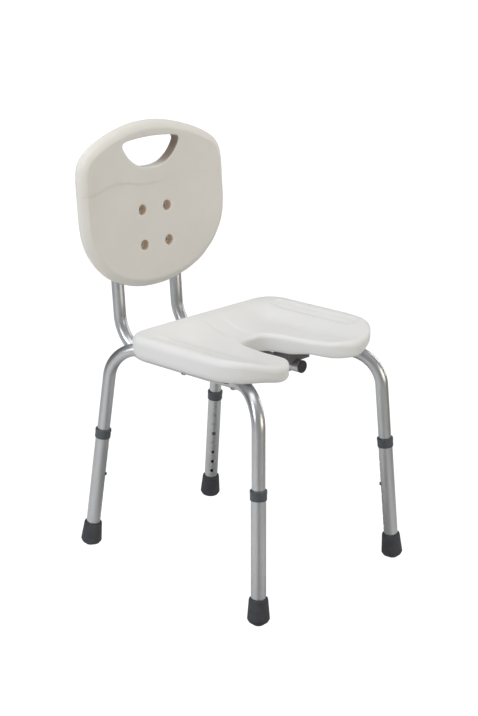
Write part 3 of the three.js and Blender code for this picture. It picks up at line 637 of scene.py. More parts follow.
def closed_profile(points, radii, steps=4):
    """Rounds every corner of a closed (r, z) profile."""
    p = [np.array(q, float) for q in points]
    n = len(p)
    out = []
    for i in range(n):
        a, q, c = p[i - 1], p[i], p[(i + 1) % n]
        r = radii[i] if isinstance(radii, (list, tuple)) else radii
        seg = fillet([a, q, c], [0, r, 0], steps)
        out.extend(seg[1:-1])
    return [tuple(x) for x in out]


for name, leg in legs.items():
    body = name + "_lower_leg"
    c, dn, inw = leg["c"], leg["down"], leg["inw"]
    lower_tube(name + "_leg_tube", leg, body)
    # collar: sleeve with a lip over the mouth, a shallow waist and broken edges
    prof = closed_profile(
        [(13.35, -10.6), (15.7, -10.6), (16.75, -9.2), (16.75, -4.6), (16.3, -3.6), (16.3, 7.6), (15.75, 9.4), (14.75, 9.4), (14.75, -8.3), (13.35, -8.3)],
        [0.5, 0.9, 0.9, 0.7, 0.7, 0.9, 0.6, 0.3, 0.2, 0.2])
    lathe(name + "_collar_ring", prof, c, dn, M_COLLAR, body, name + "_collar", 64, inw)
    # foot tip: cup with a rolled mouth, flared skirt, bevelled heel, flat tread
    fl = leg["floor"]
    top = fl - 52
    outer = [(11.3, fl), (18.8, fl - 5.3), (21.9, fl - 10.8), (21.7, fl - 14.0), (20.6, fl - 27), (19.4, fl - 41), (18.9, top + 3.6), (18.3, top + 2.6), (18.2, top), (14.75, top), (14.75, LOWER_END + 2.95), (0, LOWER_END + 2.95)]
    rr = [1.0, 2.2, 2.4, 2.0, 0, 0, 0.8, 0.5, 0.9, 0.8, 0.3, 0]
    body_prof = fillet([(0, fl + 8), (10.2, fl + 8)] + outer, [0, 0] + rr, 5)
    lathe(name + "_tip", [tuple(p) for p in body_prof], c, dn, M_TIP, body, name + "_foot_tip", 72, inw, 40, True)
    # snap button: domed nose
    nose = fillet([(0, 9.6), (BUTTON_R, 9.6), (BUTTON_R, 15.6), (2.4, 17.3), (0, 17.3)], [0, 0.3, 0.8, 1.6, 0], 6)
    lathe(name + "_button", [tuple(p) for p in nose], c + dn * BUTTON_S, inw, M_PIN, name + "_button", name + "_snap_button", 36, dn)

# ---------------------------------------------------------------- frame tubes
hd = math.radians(BOW_HEADING)
bows = {}
for side, sx in (("left", -1), ("right", 1)):
    F, R = legs["front_" + side], legs["rear_" + side]
    cx, sy = math.cos(hd), math.sin(hd)
    dx, L = abs(F["knee"][0]) - abs(R["knee"][0]), R["knee"][1] - F["knee"][1]
    s = (L / sy + dx / cx) / 2
    apex = vec(sx * (abs(F["knee"][0]) - cx * s), F["knee"][1] + sy * s, BOW_Z)
    ends = [F["c"] + F["down"] * INNER_END, F["knee"], apex, R["knee"], R["c"] + R["down"] * INNER_END]
    pts = filleted_path(ends, [LEG_BEND_R, BOW_BEND_R, LEG_BEND_R], 30)
    bows[side] = dict(apex=apex, F=F, R=R, pts=pts, bolts=[F["knee"] + unit(apex - F["knee"]) * BOW_BOLTS[0], apex + unit(R["knee"] - apex) * BOW_BOLTS[1]])
    sweep(side + "_bow", pts, UPPER_R, UPPER_BORE, M_ALU, "frame", side + "_bow_tube")
    x = sx * BACK_X
    knee_y = BACK_BEND_Y + BACK_BEND_R * 0.97
    top = vec(x, knee_y + RECLINE * (BACK_TOP_Z - BACK_Z), BACK_TOP_Z)
    up = unit(vec(0, RECLINE, 1))
    back = filleted_path([vec(x, BACK_FRONT_Y, BACK_Z), vec(x, knee_y, BACK_Z), top], [BACK_BEND_R], 34)
    sweep(side + "_back", back, UPPER_R, UPPER_BORE, M_ALU, "frame", side + "_back_tube")
    cap = [tuple(p) for p in fillet([(0, -14), (10.7, -14), (10.7, 0.3), (12.9, 0.3), (13.3, 0.9), (13.3, 2.9), (11.6, 4.2), (9.4, 4.3), (9.0, 3.7), (0, 3.7)], [0, 0.8, 0.2, 0.3, 0.4, 1.2, 0.7, 0.3, 0.3, 0], 5)]
    lathe(side + "_front_cap", cap, vec(x, BACK_FRONT_Y, BACK_Z), vec(0, -1, 0), M_PLUG, "frame", side + "_front_plug", 56)
    lathe(side + "_top_cap", cap, top, up, M_PLUG, "frame", side + "_top_plug", 56)


def knee_y_at(z):
    return BACK_BEND_Y + BACK_BEND_R * 0.97 + RECLINE * (z - BACK_Z)


# ---------------------------------------------------------------- seat shell
def seat_loop():
    u = spline([(-29, -45), (-15, -39.6), (0, -38.2), (15, -39.6), (29, -45), (39.5, -56), (45.8, -73), (50.5, -103), (56, -150), (59.5, -176)], 12)
    u = [(0.0, -38.2)] + [tuple(p) for p in u if p[0] > 0.5]
    front = spline([(59.5, -176), (64, -193), (73.5, -207.5), (88, -219), (105, -226.5), (124, -228), (149, -221), (174, -207), (195, -187), (208.5, -162), (214.5, -132), (215.8, -95), (216, -60)], 6)
    half = u + [tuple(p) for p in front[1:]] + [(216, -20), (215.6, 20)]
    half += [(162 + 54 * math.cos(t), 52 + 54 * math.sin(t)) for t in np.linspace(0, math.pi / 2, 14)] + [(115, 106.6), (75, 106.9), (35, 107)]
    full = half + [(0.0, 107.0)] + [(-x, y) for x, y in half[1:]][::-1]
    p = resample(np.array(full), 3.0)
    return soften(p, 5)


def dip(x, y):
    x = np.abs(x)
    side = smooth((216 - x - 16) / 95)
    rear = smooth((107 - y - 10) / 95)
    front = 0.76 + 0.24 * smooth((y + 223) / 110)
    return 23 * side * rear * front


def rounded_box(x, y, cx, cy, hx, hy, r):
    """Signed distance to a rounded rectangle."""
    qx, qy = np.abs(x - cx) - hx + r, np.abs(y - cy) - hy + r
    return np.hypot(np.maximum(qx, 0), np.maximum(qy, 0)) + np.minimum(np.maximum(qx, qy), 0) - r


PANEL = (176.0, -54.0, 13.0, 110.0, 7.0)
CHANNEL = (0.0, 22.0, 25.0, 62.0, 16.0)


def seat_top(x, y):
    z = SEAT_T - dip(x, y)
    sd = rounded_box(np.abs(x), y, *PANEL)
    z = z - 2.3 * smooth((1.2 - sd) / 2.4)
    sc = rounded_box(np.abs(x), y, *CHANNEL)
    z = z - 1.3 * smooth((2.5 - sc) / 5.0) * smooth((78 - y) / 25)
    return z


def box_loop(cx, cy, hx, hy, r, grow, step=3.0):
    hx, hy, r = hx + grow, hy + grow, max(r + grow, 1.0)
    pts = []
    for qx, qy, a in ((1, 1, 0), (-1, 1, 90), (-1, -1, 180), (1, -1, 270)):
        for k in range(7):
            t = math.radians(a + 90 * k / 6)
            pts.append((cx + qx * (hx - r) + r * math.cos(t), cy + qy * (hy - r) + r * math.sin(t)))
    p = resample(np.array(pts), step)
    return np.vstack([p, p[:1]])


def lip_z(x, y):
    """Height of the lip's underside: raised along the sides and the rear, lower round the cut-out."""
    ax = np.abs(x)
    rise = 5 * np.maximum(smooth((ax - 92) / 66), smooth((y - 70) / 25))
    return SEAT_B + rise - 9.5 * smooth((62 - ax) / 14) * smooth((y + 165) / 70) * smooth(-y / 12)


def build_seat():
    P = seat_loop()
    N = soften(normals2(P), 3)
    N /= np.linalg.norm(N, axis=1)[:, None]
    ax = np.abs(P[:, 0])
    u = smooth((100 - ax) / 32) * (P[:, 1] < -20)
    R = 13.5 - 4.0 * u
    RB = 8.0 + 9.0 * smooth((ax - 110) / 60) - 2.0 * u
    LZ = lip_z(P[:, 0], P[:, 1])
    b = Builder()

    def ring(d, z):
        q = P + N * np.asarray(d, float)[:, None]
        zz = z(q)
        return b.add(np.column_stack([q, zz]))

    one = np.ones(len(P))
    ztop = lambda q: seat_top(q[:, 0], q[:, 1])
    edge_top = seat_top(P[:, 0], P[:, 1]) - R
    line = (edge_top + LZ + RB) / 2                  # mould line round the edge
    rings = [ring(R + 2.2, ztop)]
    for k in range(9, -1, -1):
        phi = math.radians(10 * k)
        rings.append(ring(R * (1 - math.cos(phi)), lambda q, phi=phi: ztop(q) - R * (1 - math.sin(phi))))
    for t in (0.3, 0.6):
        rings.append(ring(one * 0.15 * t, lambda q, t=t: edge_top * (1 - t) + line * t))
    seam = 0.02 + 0.09 * smooth((P[:, 1] + 150) / 90)
    for d, h in ((0.0, 1.2), (1.0, 0.0), (0.0, -1.2)):
        rings.append(ring(0.15 + seam * d, lambda q, h=h: line + h))
    for k in range(0, 8):
        phi = math.radians(90 * k / 7)
        rings.append(ring(0.35 + RB * (1 - math.cos(phi)), lambda q, phi=phi: LZ + RB * (1 - math.sin(phi))))
    for p, q in zip(rings, rings[1:]):
        b.bridge(p, q, flip=True)
    # top skin
    lines = []
    for s in (-1, 1):
        for g in (-1.4, 1.4):
            l = box_loop(*PANEL, g)
            l[:, 0] *= s
            lines.append(l)
    loop = np.array([b.v[i][:2] for i in rings[0]])
    keep = []
    for l in lines:
        keep.append(l)
    co, tri, loops = region(loop, [], 4.2, lines=keep)
    ids = {k: rings[0][i] for i, k in enumerate(loops[0])}
    rest = [i for i in range(len(co)) if i not in ids]
    new = b.add(np.column_stack([co[rest], seat_top(co[rest, 0], co[rest, 1])]))
    ids.update(dict(zip(rest, new)))
    b.f.extend([ids[t[0]], ids[t[1]], ids[t[2]]] for t in tri)
    # underside: lip, recess, kiss-off wells
    loop = np.array([b.v[i][:2] for i in rings[-1]])
    wells = [(sx * x, y) for sx in (-1, 1) for x, y in ((150, 45), (172, -60), (150, -175), (100, -185), (30, 62))]
    well_loops = []
    for wx, wy in wells:
        for q in (10.0, 7.0):
            th = np.linspace(0, 2 * math.pi, 25)
            well_loops.append(np.stack([wx + q * np.cos(th), wy + q * np.sin(th)], 1))
    co, tri, loops = region(loop, [], 4.6, lines=well_loops)
    ids = {k: rings[-1][i] for i, k in enumerate(loops[0])}
    rest = [i for i in range(len(co)) if i not in ids]
    q = co[rest]
    de = distance(q, P)
    uu = smooth((100 - np.abs(q[:, 0])) / 30) * (q[:, 1] < -10)
    near_u = distance(q, P[(ax < 100) & (P[:, 1] < -30)], closed=False) < distance(q, P[(ax > 100) | (P[:, 1] > 0)], closed=False)
    lip = np.where(near_u, 10.0, 24.0)
    lz = lip_z(q[:, 0], q[:, 1])
    z = lz + (SEAT_RECESS + 0.1 - lz) * smooth((de - lip) / 3.0)
    for wx, wy in wells:
        r = np.hypot(q[:, 0] - wx, q[:, 1] - wy)
        z = z + 7.0 * smooth((10.4 - r) / 3.6)
    for yc in SADDLE_Y.values():
        sd = rounded_box(np.abs(q[:, 0]), q[:, 1], BACK_X, yc, 26, 24, 3)
        z = np.maximum(z, z + (SEAT_RECESS + 0.1 - z) * smooth((2 - sd) / 2))
    new = b.add(np.column_stack([q, z]))
    ids.update(dict(zip(rest, new)))
    b.f.extend([ids[t[0]], ids[t[2]], ids[t[1]]] for t in tri)
    # channels where the frame tubes pass under the edge
    v = np.array(b.v)
    low = np.where(v[:, 2] < 462)[0]
    for bow in bows.values():
        path = resample(np.array(bow["pts"]), 2.0, closed=False)
        path = path[path[:, 2] > 425]
        d = np.hypot(v[low, 0][:, None] - path[None, :, 0], v[low, 1][:, None] - path[None, :, 1])
        h = np.where(d < 14.4, path[None, :, 2] + np.sqrt(np.maximum(14.4 ** 2 - d ** 2, 0)), -1e9).max(1)
        v[low, 2] = np.maximum(v[low, 2], h)
    return make("seat", v, b.f, M_SEAT, "frame", "seat_shell")


seat = build_seat()

# ---------------------------------------------------------------- backrest shell
CURVE = 13 / (203.0 ** 2)
BACK_HALF = [(0, 883), (42, 880.5), (84, 872.5), (131, 858), (168, 841), (187, 827), (198, 810), (202, 788), (203, 745), (203, 702), (200.5, 675), (195.5, 655), (187, 636), (169, 609), (151, 591), (132, 576), (110, 564.5), (88, 555.5), (45, 544.5), (0, 541)]
HAND = [(0, 852), (-40, 850.5), (-69, 847.2), (-77.5, 843.5), (-79, 838), (-71.5, 824), (-57, 808.5), (-38, 796.5), (-18, 791.2), (0, 790), (18, 791.2), (38, 796.5), (57, 808.5), (71.5, 824), (79, 838), (77.5, 843.5), (69, 847.2), (40, 850.5)]
CREASE_X = [0, 25, 49, 76, 103, 121, 139, 158, 175, 204]
CREASE_Z = [756, 757, 760, 765.5, 768, 767, 763, 757, 755, 753.5]


def face_y(z):
    return knee_y_at(z) - UPPER_R - 1.4 - BACKREST_T


def crease(x):
    return np.interp(np.abs(x), CREASE_X, CREASE_Z)


def panel(x, z, depth):
    x, z = np.asarray(x, float), np.asarray(z, float)
    return np.column_stack([x, face_y(z) + depth - CURVE * x * x, z])


def build_back():
    ctrl = BACK_HALF[:-1] + [(0, 541)] + [(-x, z) for x, z in BACK_HALF[1:-1]][::-1]
    full = spline(ctrl, 12, closed=True)[::-1]      # anticlockwise from the front
    P = resample(full, 3.0)
    P = soften(P, 4)
    out = []
    for i in range(len(P)):                          # extra points where the mould line crosses the edge
        a, c = P[i], P[(i + 1) % len(P)]
        out.append(a)
        lo, hi = sorted((a[1], c[1]))
        cross = [z for z in (752.9, 754.1) if lo < z < hi]
        if a[1] > c[1]:
            cross = cross[::-1]
        for z in cross:
            t = (z - a[1]) / (c[1] - a[1])
            out.append(a + (c - a) * t)
    P = np.array(out)
    N = normals2(P)
    N = soften(N, 2)
    N /= np.linalg.norm(N, axis=1)[:, None]
    b = Builder()

    def step(x, z):
        return smooth((z - crease(x) + 0.6) / 1.2)

    def proud(x, z):
        """The panel above the mould line stands a little forward; the step dies away to the right."""
        return -0.75 * (0.22 + 0.78 * smooth((45 - x) / 60)) * step(x, z)

    def ring(d, depth):
        q = P + N * d
        if depth > 3:
            q = q - N * (0.45 * step(q[:, 0], q[:, 1]))[:, None]
        return b.add(panel(q[:, 0], q[:, 1], depth + proud(q[:, 0], q[:, 1]) * (1 if depth < 9 else 0)))

    rings = [ring(22.0, 0.0)]
    # broad chamfer with a soft shoulder, then the side
    for e, h in ((17.6, 0.03), (16.6, 0.12), (15.4, 0.42), (13.8, 1.05), (11.6, 2.3), (9.2, 3.95), (6.8, 5.8), (4.7, 7.7), (2.9, 9.6), (1.5, 11.3), (0.5, 12.6)):
        rings.append(ring(e, h))
    rings.append(ring(0.1, 13.9))
    rings.append(ring(0.4, 14.5))
    rings.append(ring(0.0, 15.1))
    for k in range(0, 8):
        t = math.radians(90 * k / 7)
        rings.append(ring(8.5 * (1 - math.cos(t)), BACKREST_T - 8.5 * (1 - math.sin(t))))
    rings.append(ring(10.5, BACKREST_T))
    for p, q in zip(rings, rings[1:]):
        b.bridge(p, q, flip=True)
    # hand hole and counterbores
    H = resample(spline(HAND, 8, closed=True), 2.6)
    area = 0.5 * np.sum(H[:, 0] * np.roll(H[:, 1], -1) - H[:, 1] * np.roll(H[:, 0], -1))
    if area < 0:
        H = H[::-1]
    HN = normals2(H)
    RH = 2.4
    # painted shade: this is the weight of the brown darkening put on the hole's wall that faces -X, where the panel
    # itself shades it
    shaded_wall = smooth((-HN[:, 0] - 0.05) / 0.6)
    painted_shade = {}
    big = H - HN * RH
    th = np.linspace(0, 2 * math.pi, 36, endpoint=False)
    circ = np.stack([np.cos(th), np.sin(th)], 1)
    bores = [np.array([sx * SCREW_X, z]) for z in SCREW_ROWS.values() for sx in (-1, 1)]
    front_holes = [big] + [c + circ * 12.0 for c in bores]
    xs = np.arange(-180, 180.1, 2.5)
    lines = []
    for off in (-0.62, 0.62):
        l = np.stack([xs, crease(xs) + off], 1)
        loop = np.array([[b.v[i][0], b.v[i][2]] for i in rings[0]])
        l = l[inside(l, loop) & (distance(l, loop) > 1.0)]
        lines.append(l)
    loop = np.array([[b.v[i][0], b.v[i][2]] for i in rings[0]])
    co, tri, loops = region(loop, front_holes, 4.5, lines=lines)
    ids = {k: rings[0][i] for i, k in enumerate(loops[0])}
    rest = [i for i in range(len(co)) if i not in ids]
    new = b.add(panel(co[rest, 0], co[rest, 1], proud(co[rest, 0], co[rest, 1])))
    ids.update(dict(zip(rest, new)))
    b.f.extend([ids[t[0]], ids[t[1]], ids[t[2]]] for t in tri)
    hole_front = [[ids[k] for k in l] for l in loops[1:]]
    # hand hole wall with rounded lips; the part of the wall that faces -X is darkened to brown with painted shade,
    # most deeply inside the hole
    last = hole_front[0]
    for k in range(1, 6):
        t = math.radians(18 * k)
        q = H - HN * RH * (1 - math.sin(t))
        cur = b.add(panel(q[:, 0], q[:, 1], RH * (1 - math.cos(t)) + proud(q[:, 0], q[:, 1]) * (1 - k / 6)))
        painted_shade.update({i: (0.42, 0.345, 0.30, f * (k / 5) ** 2) for i, f in zip(cur, shaded_wall)})
        b.bridge(last, cur)
        last = cur
    for dep in (8, 13.6):
        cur = b.add(panel(H[:, 0], H[:, 1], dep))
        painted_shade.update({i: (0.42, 0.345, 0.30, f) for i, f in zip(cur, shaded_wall)})
        b.bridge(last, cur)
        last = cur
    for k in range(0, 6):
        t = math.radians(18 * (5 - k))
        q = H - HN * RH * (1 - math.sin(t))
        cur = b.add(panel(q[:, 0], q[:, 1], BACKREST_T - RH * (1 - math.cos(t))))
        painted_shade.update({i: (0.42, 0.345, 0.30, f * (1 - k / 5)) for i, f in zip(cur, shaded_wall)})
        b.bridge(last, cur)
        last = cur
    hand_back = last
    # counterbores; inside, below the rim, their walls and floors are tinted brown with painted shade
    for c, ring0 in zip(bores, hole_front[1:]):
        last = ring0
        for rad, dep in ((11.55, 0.15), (11.15, 0.6), (11.0, 1.1), (10.8, 6), (10.6, 12.6), (10.2, 13.4), (9.6, 13.6), (4.0, 13.6), (3.4, 13.9)):
            q = c + circ * rad
            cur = b.add(panel(q[:, 0], q[:, 1], dep))
            if dep > 0.5:
                painted_shade.update({i: (1.0, 0.86, 0.75, 1.0) for i in cur})
            b.bridge(last, cur)
            last = cur
        b.fan(last, panel([c[0]], [c[1]], 14.2)[0])
    # back skin, with the two shallow beds of the tubes
    loop = np.array([[b.v[i][0], b.v[i][2]] for i in rings[-1]])
    hb = np.array([[b.v[i][0], b.v[i][2]] for i in hand_back])
    co, tri, loops = region(loop, [hb], 5.0)
    ids = {k: rings[-1][i] for i, k in enumerate(loops[0])}
    ids.update({k: hand_back[i] for i, k in enumerate(loops[1])})
    rest = [i for i in range(len(co)) if i not in ids]
    x, z = co[rest, 0], co[rest, 1]
    bed = 2.2 * smooth((17 - np.abs(np.abs(x) - BACK_X)) / 6) * smooth((785 - z) / 14) * smooth((distance(co[rest], loop) - 2) / 10)
    new = b.add(panel(x, z, BACKREST_T - bed))
    ids.update(dict(zip(rest, new)))
    b.f.extend([ids[t[0]], ids[t[2]], ids[t[1]]] for t in tri)
    o = make("backrest", b.v, b.f, M_BACK, "frame", "backrest_shell", 60)
    # painted shade: the backrest's colour is multiplied by a brown tint in the hand hole and the counterbores
    shade_tint = np.ones((len(o.data.vertices), 4))
    for i, (r, g, bl, f) in painted_shade.items():
        shade_tint[i, :3] = 1 - f * (1 - np.array([r, g, bl]))
    layer = o.data.attributes.new("painted_shade", "FLOAT_COLOR", "POINT")
    layer.data.foreach_set("color", shade_tint.ravel())
    nt = M_BACK.node_tree
    shader = next(n for n in nt.nodes if n.type == "BSDF_PRINCIPLED")
    source = shader.inputs["Base Color"].links[0].from_socket
    attr = nt.nodes.new("ShaderNodeAttribute")
    attr.attribute_name = "painted_shade"
    mix = nt.nodes.new("ShaderNodeMix")
    mix.data_type, mix.blend_type = "RGBA", "MULTIPLY"
    mix.inputs[0].default_value = 1.0
    nt.links.new(source, mix.inputs[6])
    nt.links.new(attr.outputs["Color"], mix.inputs[7])
    nt.links.new(mix.outputs[2], shader.inputs["Base Color"])
    return o


build_back()


# ---------------------------------------------------------------- fasteners and brackets
def socket_bolt(name, origin, direction, length, node, head_r=6.2, head_h=4.0, shank=3.0, socket=2.0):
    """Button-head bolt: domed head with a hexagon socket, washer face, shank with a chamfered end. Its origin is under the head."""
    x, y, z = basis(direction)
    b = Builder()
    seg = 36
    th = np.linspace(0, 2 * math.pi, seg, endpoint=False)
    hexa = socket / np.cos((th % (math.pi / 3)) - math.pi / 6)

    def ring(rad, h):
        rad = np.broadcast_to(rad, (seg,))
        return b.add([origin + z * h + (x * math.cos(t) + y * math.sin(t)) * r for t, r in zip(th, rad)])

    prof = fillet([(3.0, -head_h), (head_r * 0.62, -head_h), (head_r, -head_h * 0.35), (head_r, 0), (shank, 0), (shank, length - 0.8), (shank - 0.8, length)], [0, 1.2, 1.4, 0.3, 0.2, 0.2, 0], 5)
    rings = [ring(hexa, -head_h + 2.2), ring(hexa, -head_h + 0.25), ring(hexa + 0.25, -head_h)] + [ring(r, h) for r, h in prof]
    for p, q in zip(rings, rings[1:]):
        b.bridge(p, q)
    b.fan(rings[0], origin + z * (-head_h + 2.6), flip=True)
    b.fan(rings[-1], origin + z * length)
    v = np.array(b.v)
    area = sum(np.dot(v[f[0]] - origin, np.cross(v[f[1]] - origin, v[f[2]] - origin)) for f in b.f)
    if area < 0:
        b.f = [f[::-1] for f in b.f]
    return make(name, v, b.f, M_STEEL, "frame", node, 32)


def prism(name, outline, origin, ux, uy, depth, material, node, bevel=0.7, cutter=None, sharp=35, segments=3):
    """A bevelled extrusion of a plane outline; origin is the middle of its length."""
    ux, uy = unit(np.array(ux, float)), unit(np.array(uy, float))
    uz = np.cross(ux, uy)
    o = np.array(outline, float)
    area = 0.5 * np.sum(o[:, 0] * np.roll(o[:, 1], -1) - o[:, 1] * np.roll(o[:, 0], -1))
    if area < 0:
        o = o[::-1]
    n = len(o)
    base = origin + np.outer(o[:, 0], ux) + np.outer(o[:, 1], uy)
    v = np.vstack([base - uz * depth / 2, base + uz * depth / 2])
    f = [list(range(n))[::-1], list(range(n, 2 * n))] + [[i, (i + 1) % n, n + (i + 1) % n, n + i] for i in range(n)]
    me = bpy.data.meshes.new(name + "_raw")
    w = v.copy()
    w[:, 1] += YS
    me.from_pydata([tuple(p) for p in w * 0.001], [], f)
    tmp = bpy.data.objects.new(name + "_raw", me)
    bpy.context.scene.collection.objects.link(tmp)
    if cutter is not None:
        m = tmp.modifiers.new("cut", "BOOLEAN")
        m.operation, m.solver, m.object = "DIFFERENCE", "EXACT", cutter
        bpy.context.view_layer.update()
        ev = bpy.data.meshes.new_from_object(tmp.evaluated_get(bpy.context.evaluated_depsgraph_get()))
        import bmesh
        bm = bmesh.new()
        bm.from_mesh(ev)
        left, islands = set(bm.verts), []
        while left:
            stack, isl = [next(iter(left))], set()
            while stack:
                q = stack.pop()
                if q in isl:
                    continue
                isl.add(q)
                stack.extend(e.other_vert(q) for e in q.link_edges)
            left -= isl
            islands.append(isl)
        islands.sort(key=lambda s: -max((p.co.x for p in s)) + min((p.co.x for p in s)))
        bmesh.ops.delete(bm, geom=[q for s in islands[1:] for q in s], context="VERTS")
        bmesh.ops.dissolve_limit(bm, angle_limit=0.02, verts=bm.verts, edges=bm.edges)
        bm.to_mesh(ev)
        bm.free()
        tmp.modifiers.clear()
        tmp.data = ev
    m = tmp.modifiers.new("bevel", "BEVEL")
    m.width, m.segments, m.limit_method, m.angle_limit = bevel * 0.001, segments, "ANGLE", math.radians(40)
    m.use_clamp_overlap = True
    bpy.context.view_layer.update()
    me2 = bpy.data.meshes.new_from_object(tmp.evaluated_get(bpy.context.evaluated_depsgraph_get()))
    me2.name = name
    bpy.data.objects.remove(tmp)
    me2.materials.clear()
    me2.materials.append(material)
    me2.polygons.foreach_set("use_smooth", [True] * len(me2.polygons))
    me2.set_sharp_from_angle(angle=math.radians(sharp))
    ob = bpy.data.objects.new(name, me2)
    bpy.context.scene.collection.objects.link(ob)
    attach(ob, "frame")
    if node:
        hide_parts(node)
    return ob


def tube_cutter(side):
    pts = [np.array(p, float) for p in resample(np.array(bows[side]["pts"]), 5.0, closed=False)]
    fr = frames(pts)
    th = np.linspace(0, 2 * math.pi, 40, endpoint=False)
    v, f = [], []
    for p, (t, nn, bb) in zip(pts, fr):
        v.extend(p + 13.9 * (math.cos(a) * nn + math.sin(a) * bb) for a in th)
    k = len(th)
    for i in range(len(pts) - 1):
        f.extend([i * k + j, i * k + (j + 1) % k, (i + 1) * k + (j + 1) % k, (i + 1) * k + j] for j in range(k))
    f.append(list(range(k))[::-1])
    f.append(list(range((len(pts) - 1) * k, len(pts) * k)))
    w = np.array(v)
    w[:, 1] += YS
    me = bpy.data.meshes.new("cutter")
    me.from_pydata([tuple(p) for p in w * 0.001], [], f)
    o = bpy.data.objects.new("cutter", me)
    bpy.context.scene.collection.objects.link(o)
    return o


for side, sx in (("left", -1), ("right", 1)):
    cutter = tube_cutter(side)
    for end, yc in SADDLE_Y.items():
        h = SEAT_RECESS - 0.35 - BACK_Z
        out = [(-38.5, 9), (-38.5, 15.5), (-26, 15.5), (-24, h), (24, h), (26, 15.5), (38.5, 15.5), (38.5, 9)]
        a0 = math.asin(9 / 13.4)
        out += [(13.4 * math.cos(a), 13.4 * math.sin(a)) for a in np.linspace(a0, math.pi - a0, 19)]
        prism(f"{side}_{end}_bracket", out, vec(sx * BACK_X, yc, BACK_Z), (1, 0, 0), (0, 0, 1), 42, M_BRACKET, f"{side}_{end}_saddle", 1.0, cutter)
        socket_bolt(f"{side}_{end}_bracket_bolt", vec(sx * BACK_X, yc, BACK_Z - UPPER_R - 0.3), (0, 0, 1), SEAT_RECESS - BACK_Z + UPPER_R + 10, f"{side}_{end}_saddle_bolt", 6.2, 2.6)
    bpy.data.objects.remove(cutter)
    for k, p in zip(("front", "rear"), bows[side]["bolts"]):
        socket_bolt(f"{side}_bow_{k}_bolt", vec(p[0], p[1], BOW_Z - UPPER_R - 0.3), (0, 0, 1), 2 * UPPER_R + 12, f"{side}_bow_bolt_{k}")

y0, t = bows["left"]["apex"][1], 2.4
zl, zh = BOW_Z - UPPER_R - 0.4 - t, SEAT_B + 4.6 - t
up = [(-181, zh), (-150, zh), (-122, zl), (122, zl), (150, zh), (181, zh)]
mid = []
for i, p in enumerate(up):
    mid.append(p)
lower = fillet(up, [0, 6, 6, 6, 6, 0], 6)
upper = fillet([(x, z + t) for x, z in up], [0, 6, 6, 6, 6, 0], 6)
prism("centre_tie", [tuple(p) for p in lower] + [tuple(p) for p in upper][::-1], vec(0, y0, 0), (1, 0, 0), (0, 0, 1), 26, M_STRAP, "centre_strap", 0.5)
for side, sx in (("left", -1), ("right", 1)):
    socket_bolt(f"{side}_tie_bolt", vec(sx * 168, y0, zh - 0.3), (0, 0, 1), 14, f"{side}_strap_bolt")

n0 = unit(vec(0, 1, -RECLINE))
for row, z in SCREW_ROWS.items():
    back = face_y(z) + BACKREST_T
    axis = knee_y_at(z)
    d = axis - 1.5 - (back + 0.35)
    a = [(-69.65, d), (-65, d), (-52, 0), (52, 0), (65, d), (69.65, d)]
    lo = [tuple(p) for p in fillet(a, [0, 5, 5, 5, 5, 0], 5)]
    hi = [tuple(p) for p in fillet([(x, q + 3) for x, q in a], [0, 5, 5, 5, 5, 0], 5)]
    prism(f"{row}_cross_bar", lo + hi[::-1], vec(0, back + 0.35, z), (1, 0, 0), (0, 1, -RECLINE), 26, M_ALU, f"{row}_back_bar", 0.5)
    for side, sx in (("left", -1), ("right", 1)):
        p = vec(sx * SCREW_X, face_y(z) - CURVE * SCREW_X ** 2, z)
        socket_bolt(f"{row}_{side}_back_screw", p + n0 * 13.5, n0, 18, f"backrest_screw_{row}_{side}", 6.6, 4.2, 3.0, 2.1)

# ---------------------------------------------------------------- stage, light, camera
scene = bpy.context.scene
floor_me = bpy.data.meshes.new("floor")
# just under the feet at a leg's longest setting, so that it hides none of them
floor_me.from_pydata([(-14, -14, -0.076), (14, -14, -0.076), (14, 14, -0.076), (-14, 14, -0.076)], [], [(0, 1, 2, 3)])
floor = bpy.data.objects.new("floor", floor_me)
scene.collection.objects.link(floor)
fm, fnt, fs = nodes_of("floor_paper", (0.62, 0.62, 0.62), 0.9, 0.0)
fs.inputs["Specular IOR Level"].default_value = 0.0
ftc = fnt.nodes.new("ShaderNodeTexCoord")            # grey runner laid diagonally in front of the chair, out of the picture
fmap = fnt.nodes.new("ShaderNodeMapping")
fmap.inputs["Rotation"].default_value = (0, 0, math.radians(46.8))
fsep = fnt.nodes.new("ShaderNodeSeparateXYZ")
fnt.links.new(ftc.outputs["Object"], fmap.inputs["Vector"])
fnt.links.new(fmap.outputs["Vector"], fsep.inputs["Vector"])
frange = fnt.nodes.new("ShaderNodeMapRange")
frange.inputs["From Min"].default_value, frange.inputs["From Max"].default_value = -2.0, 2.0
fnt.links.new(fsep.outputs["X"], frange.inputs["Value"])
fnt.links.new(ramp(fnt, frange.outputs["Result"], [(0.0, (0.80,) * 3), (0.34, (0.92,) * 3), (0.45, (0.74,) * 3), (0.51, (0.40,) * 3), (0.56, (0.46,) * 3), (0.64, (0.80,) * 3), (0.76, (0.62,) * 3), (0.86, (0.34,) * 3), (1.0, (0.34,) * 3)]), fs.inputs["Base Color"])
glow = fnt.nodes.new("ShaderNodeEmission")           # a lit white sweep: it photographs as plain white
glow.inputs["Strength"].default_value = 1.1
fmix = fnt.nodes.new("ShaderNodeMixShader")
flp = fnt.nodes.new("ShaderNodeLightPath")
fnt.links.new(flp.outputs["Is Camera Ray"], fmix.inputs["Fac"])
fnt.links.new(fs.outputs["BSDF"], fmix.inputs[1])
fnt.links.new(glow.outputs["Emission"], fmix.inputs[2])
fnt.links.new(fmix.outputs["Shader"], next(n for n in fnt.nodes if n.type == "OUTPUT_MATERIAL").inputs["Surface"])
floor_me.materials.append(fm)
floor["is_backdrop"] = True

world = bpy.data.worlds.new("studio")
scene.world = world
world.use_nodes = True
wn = world.node_tree
wn.nodes.clear()
wo = wn.nodes.new("ShaderNodeOutputWorld")
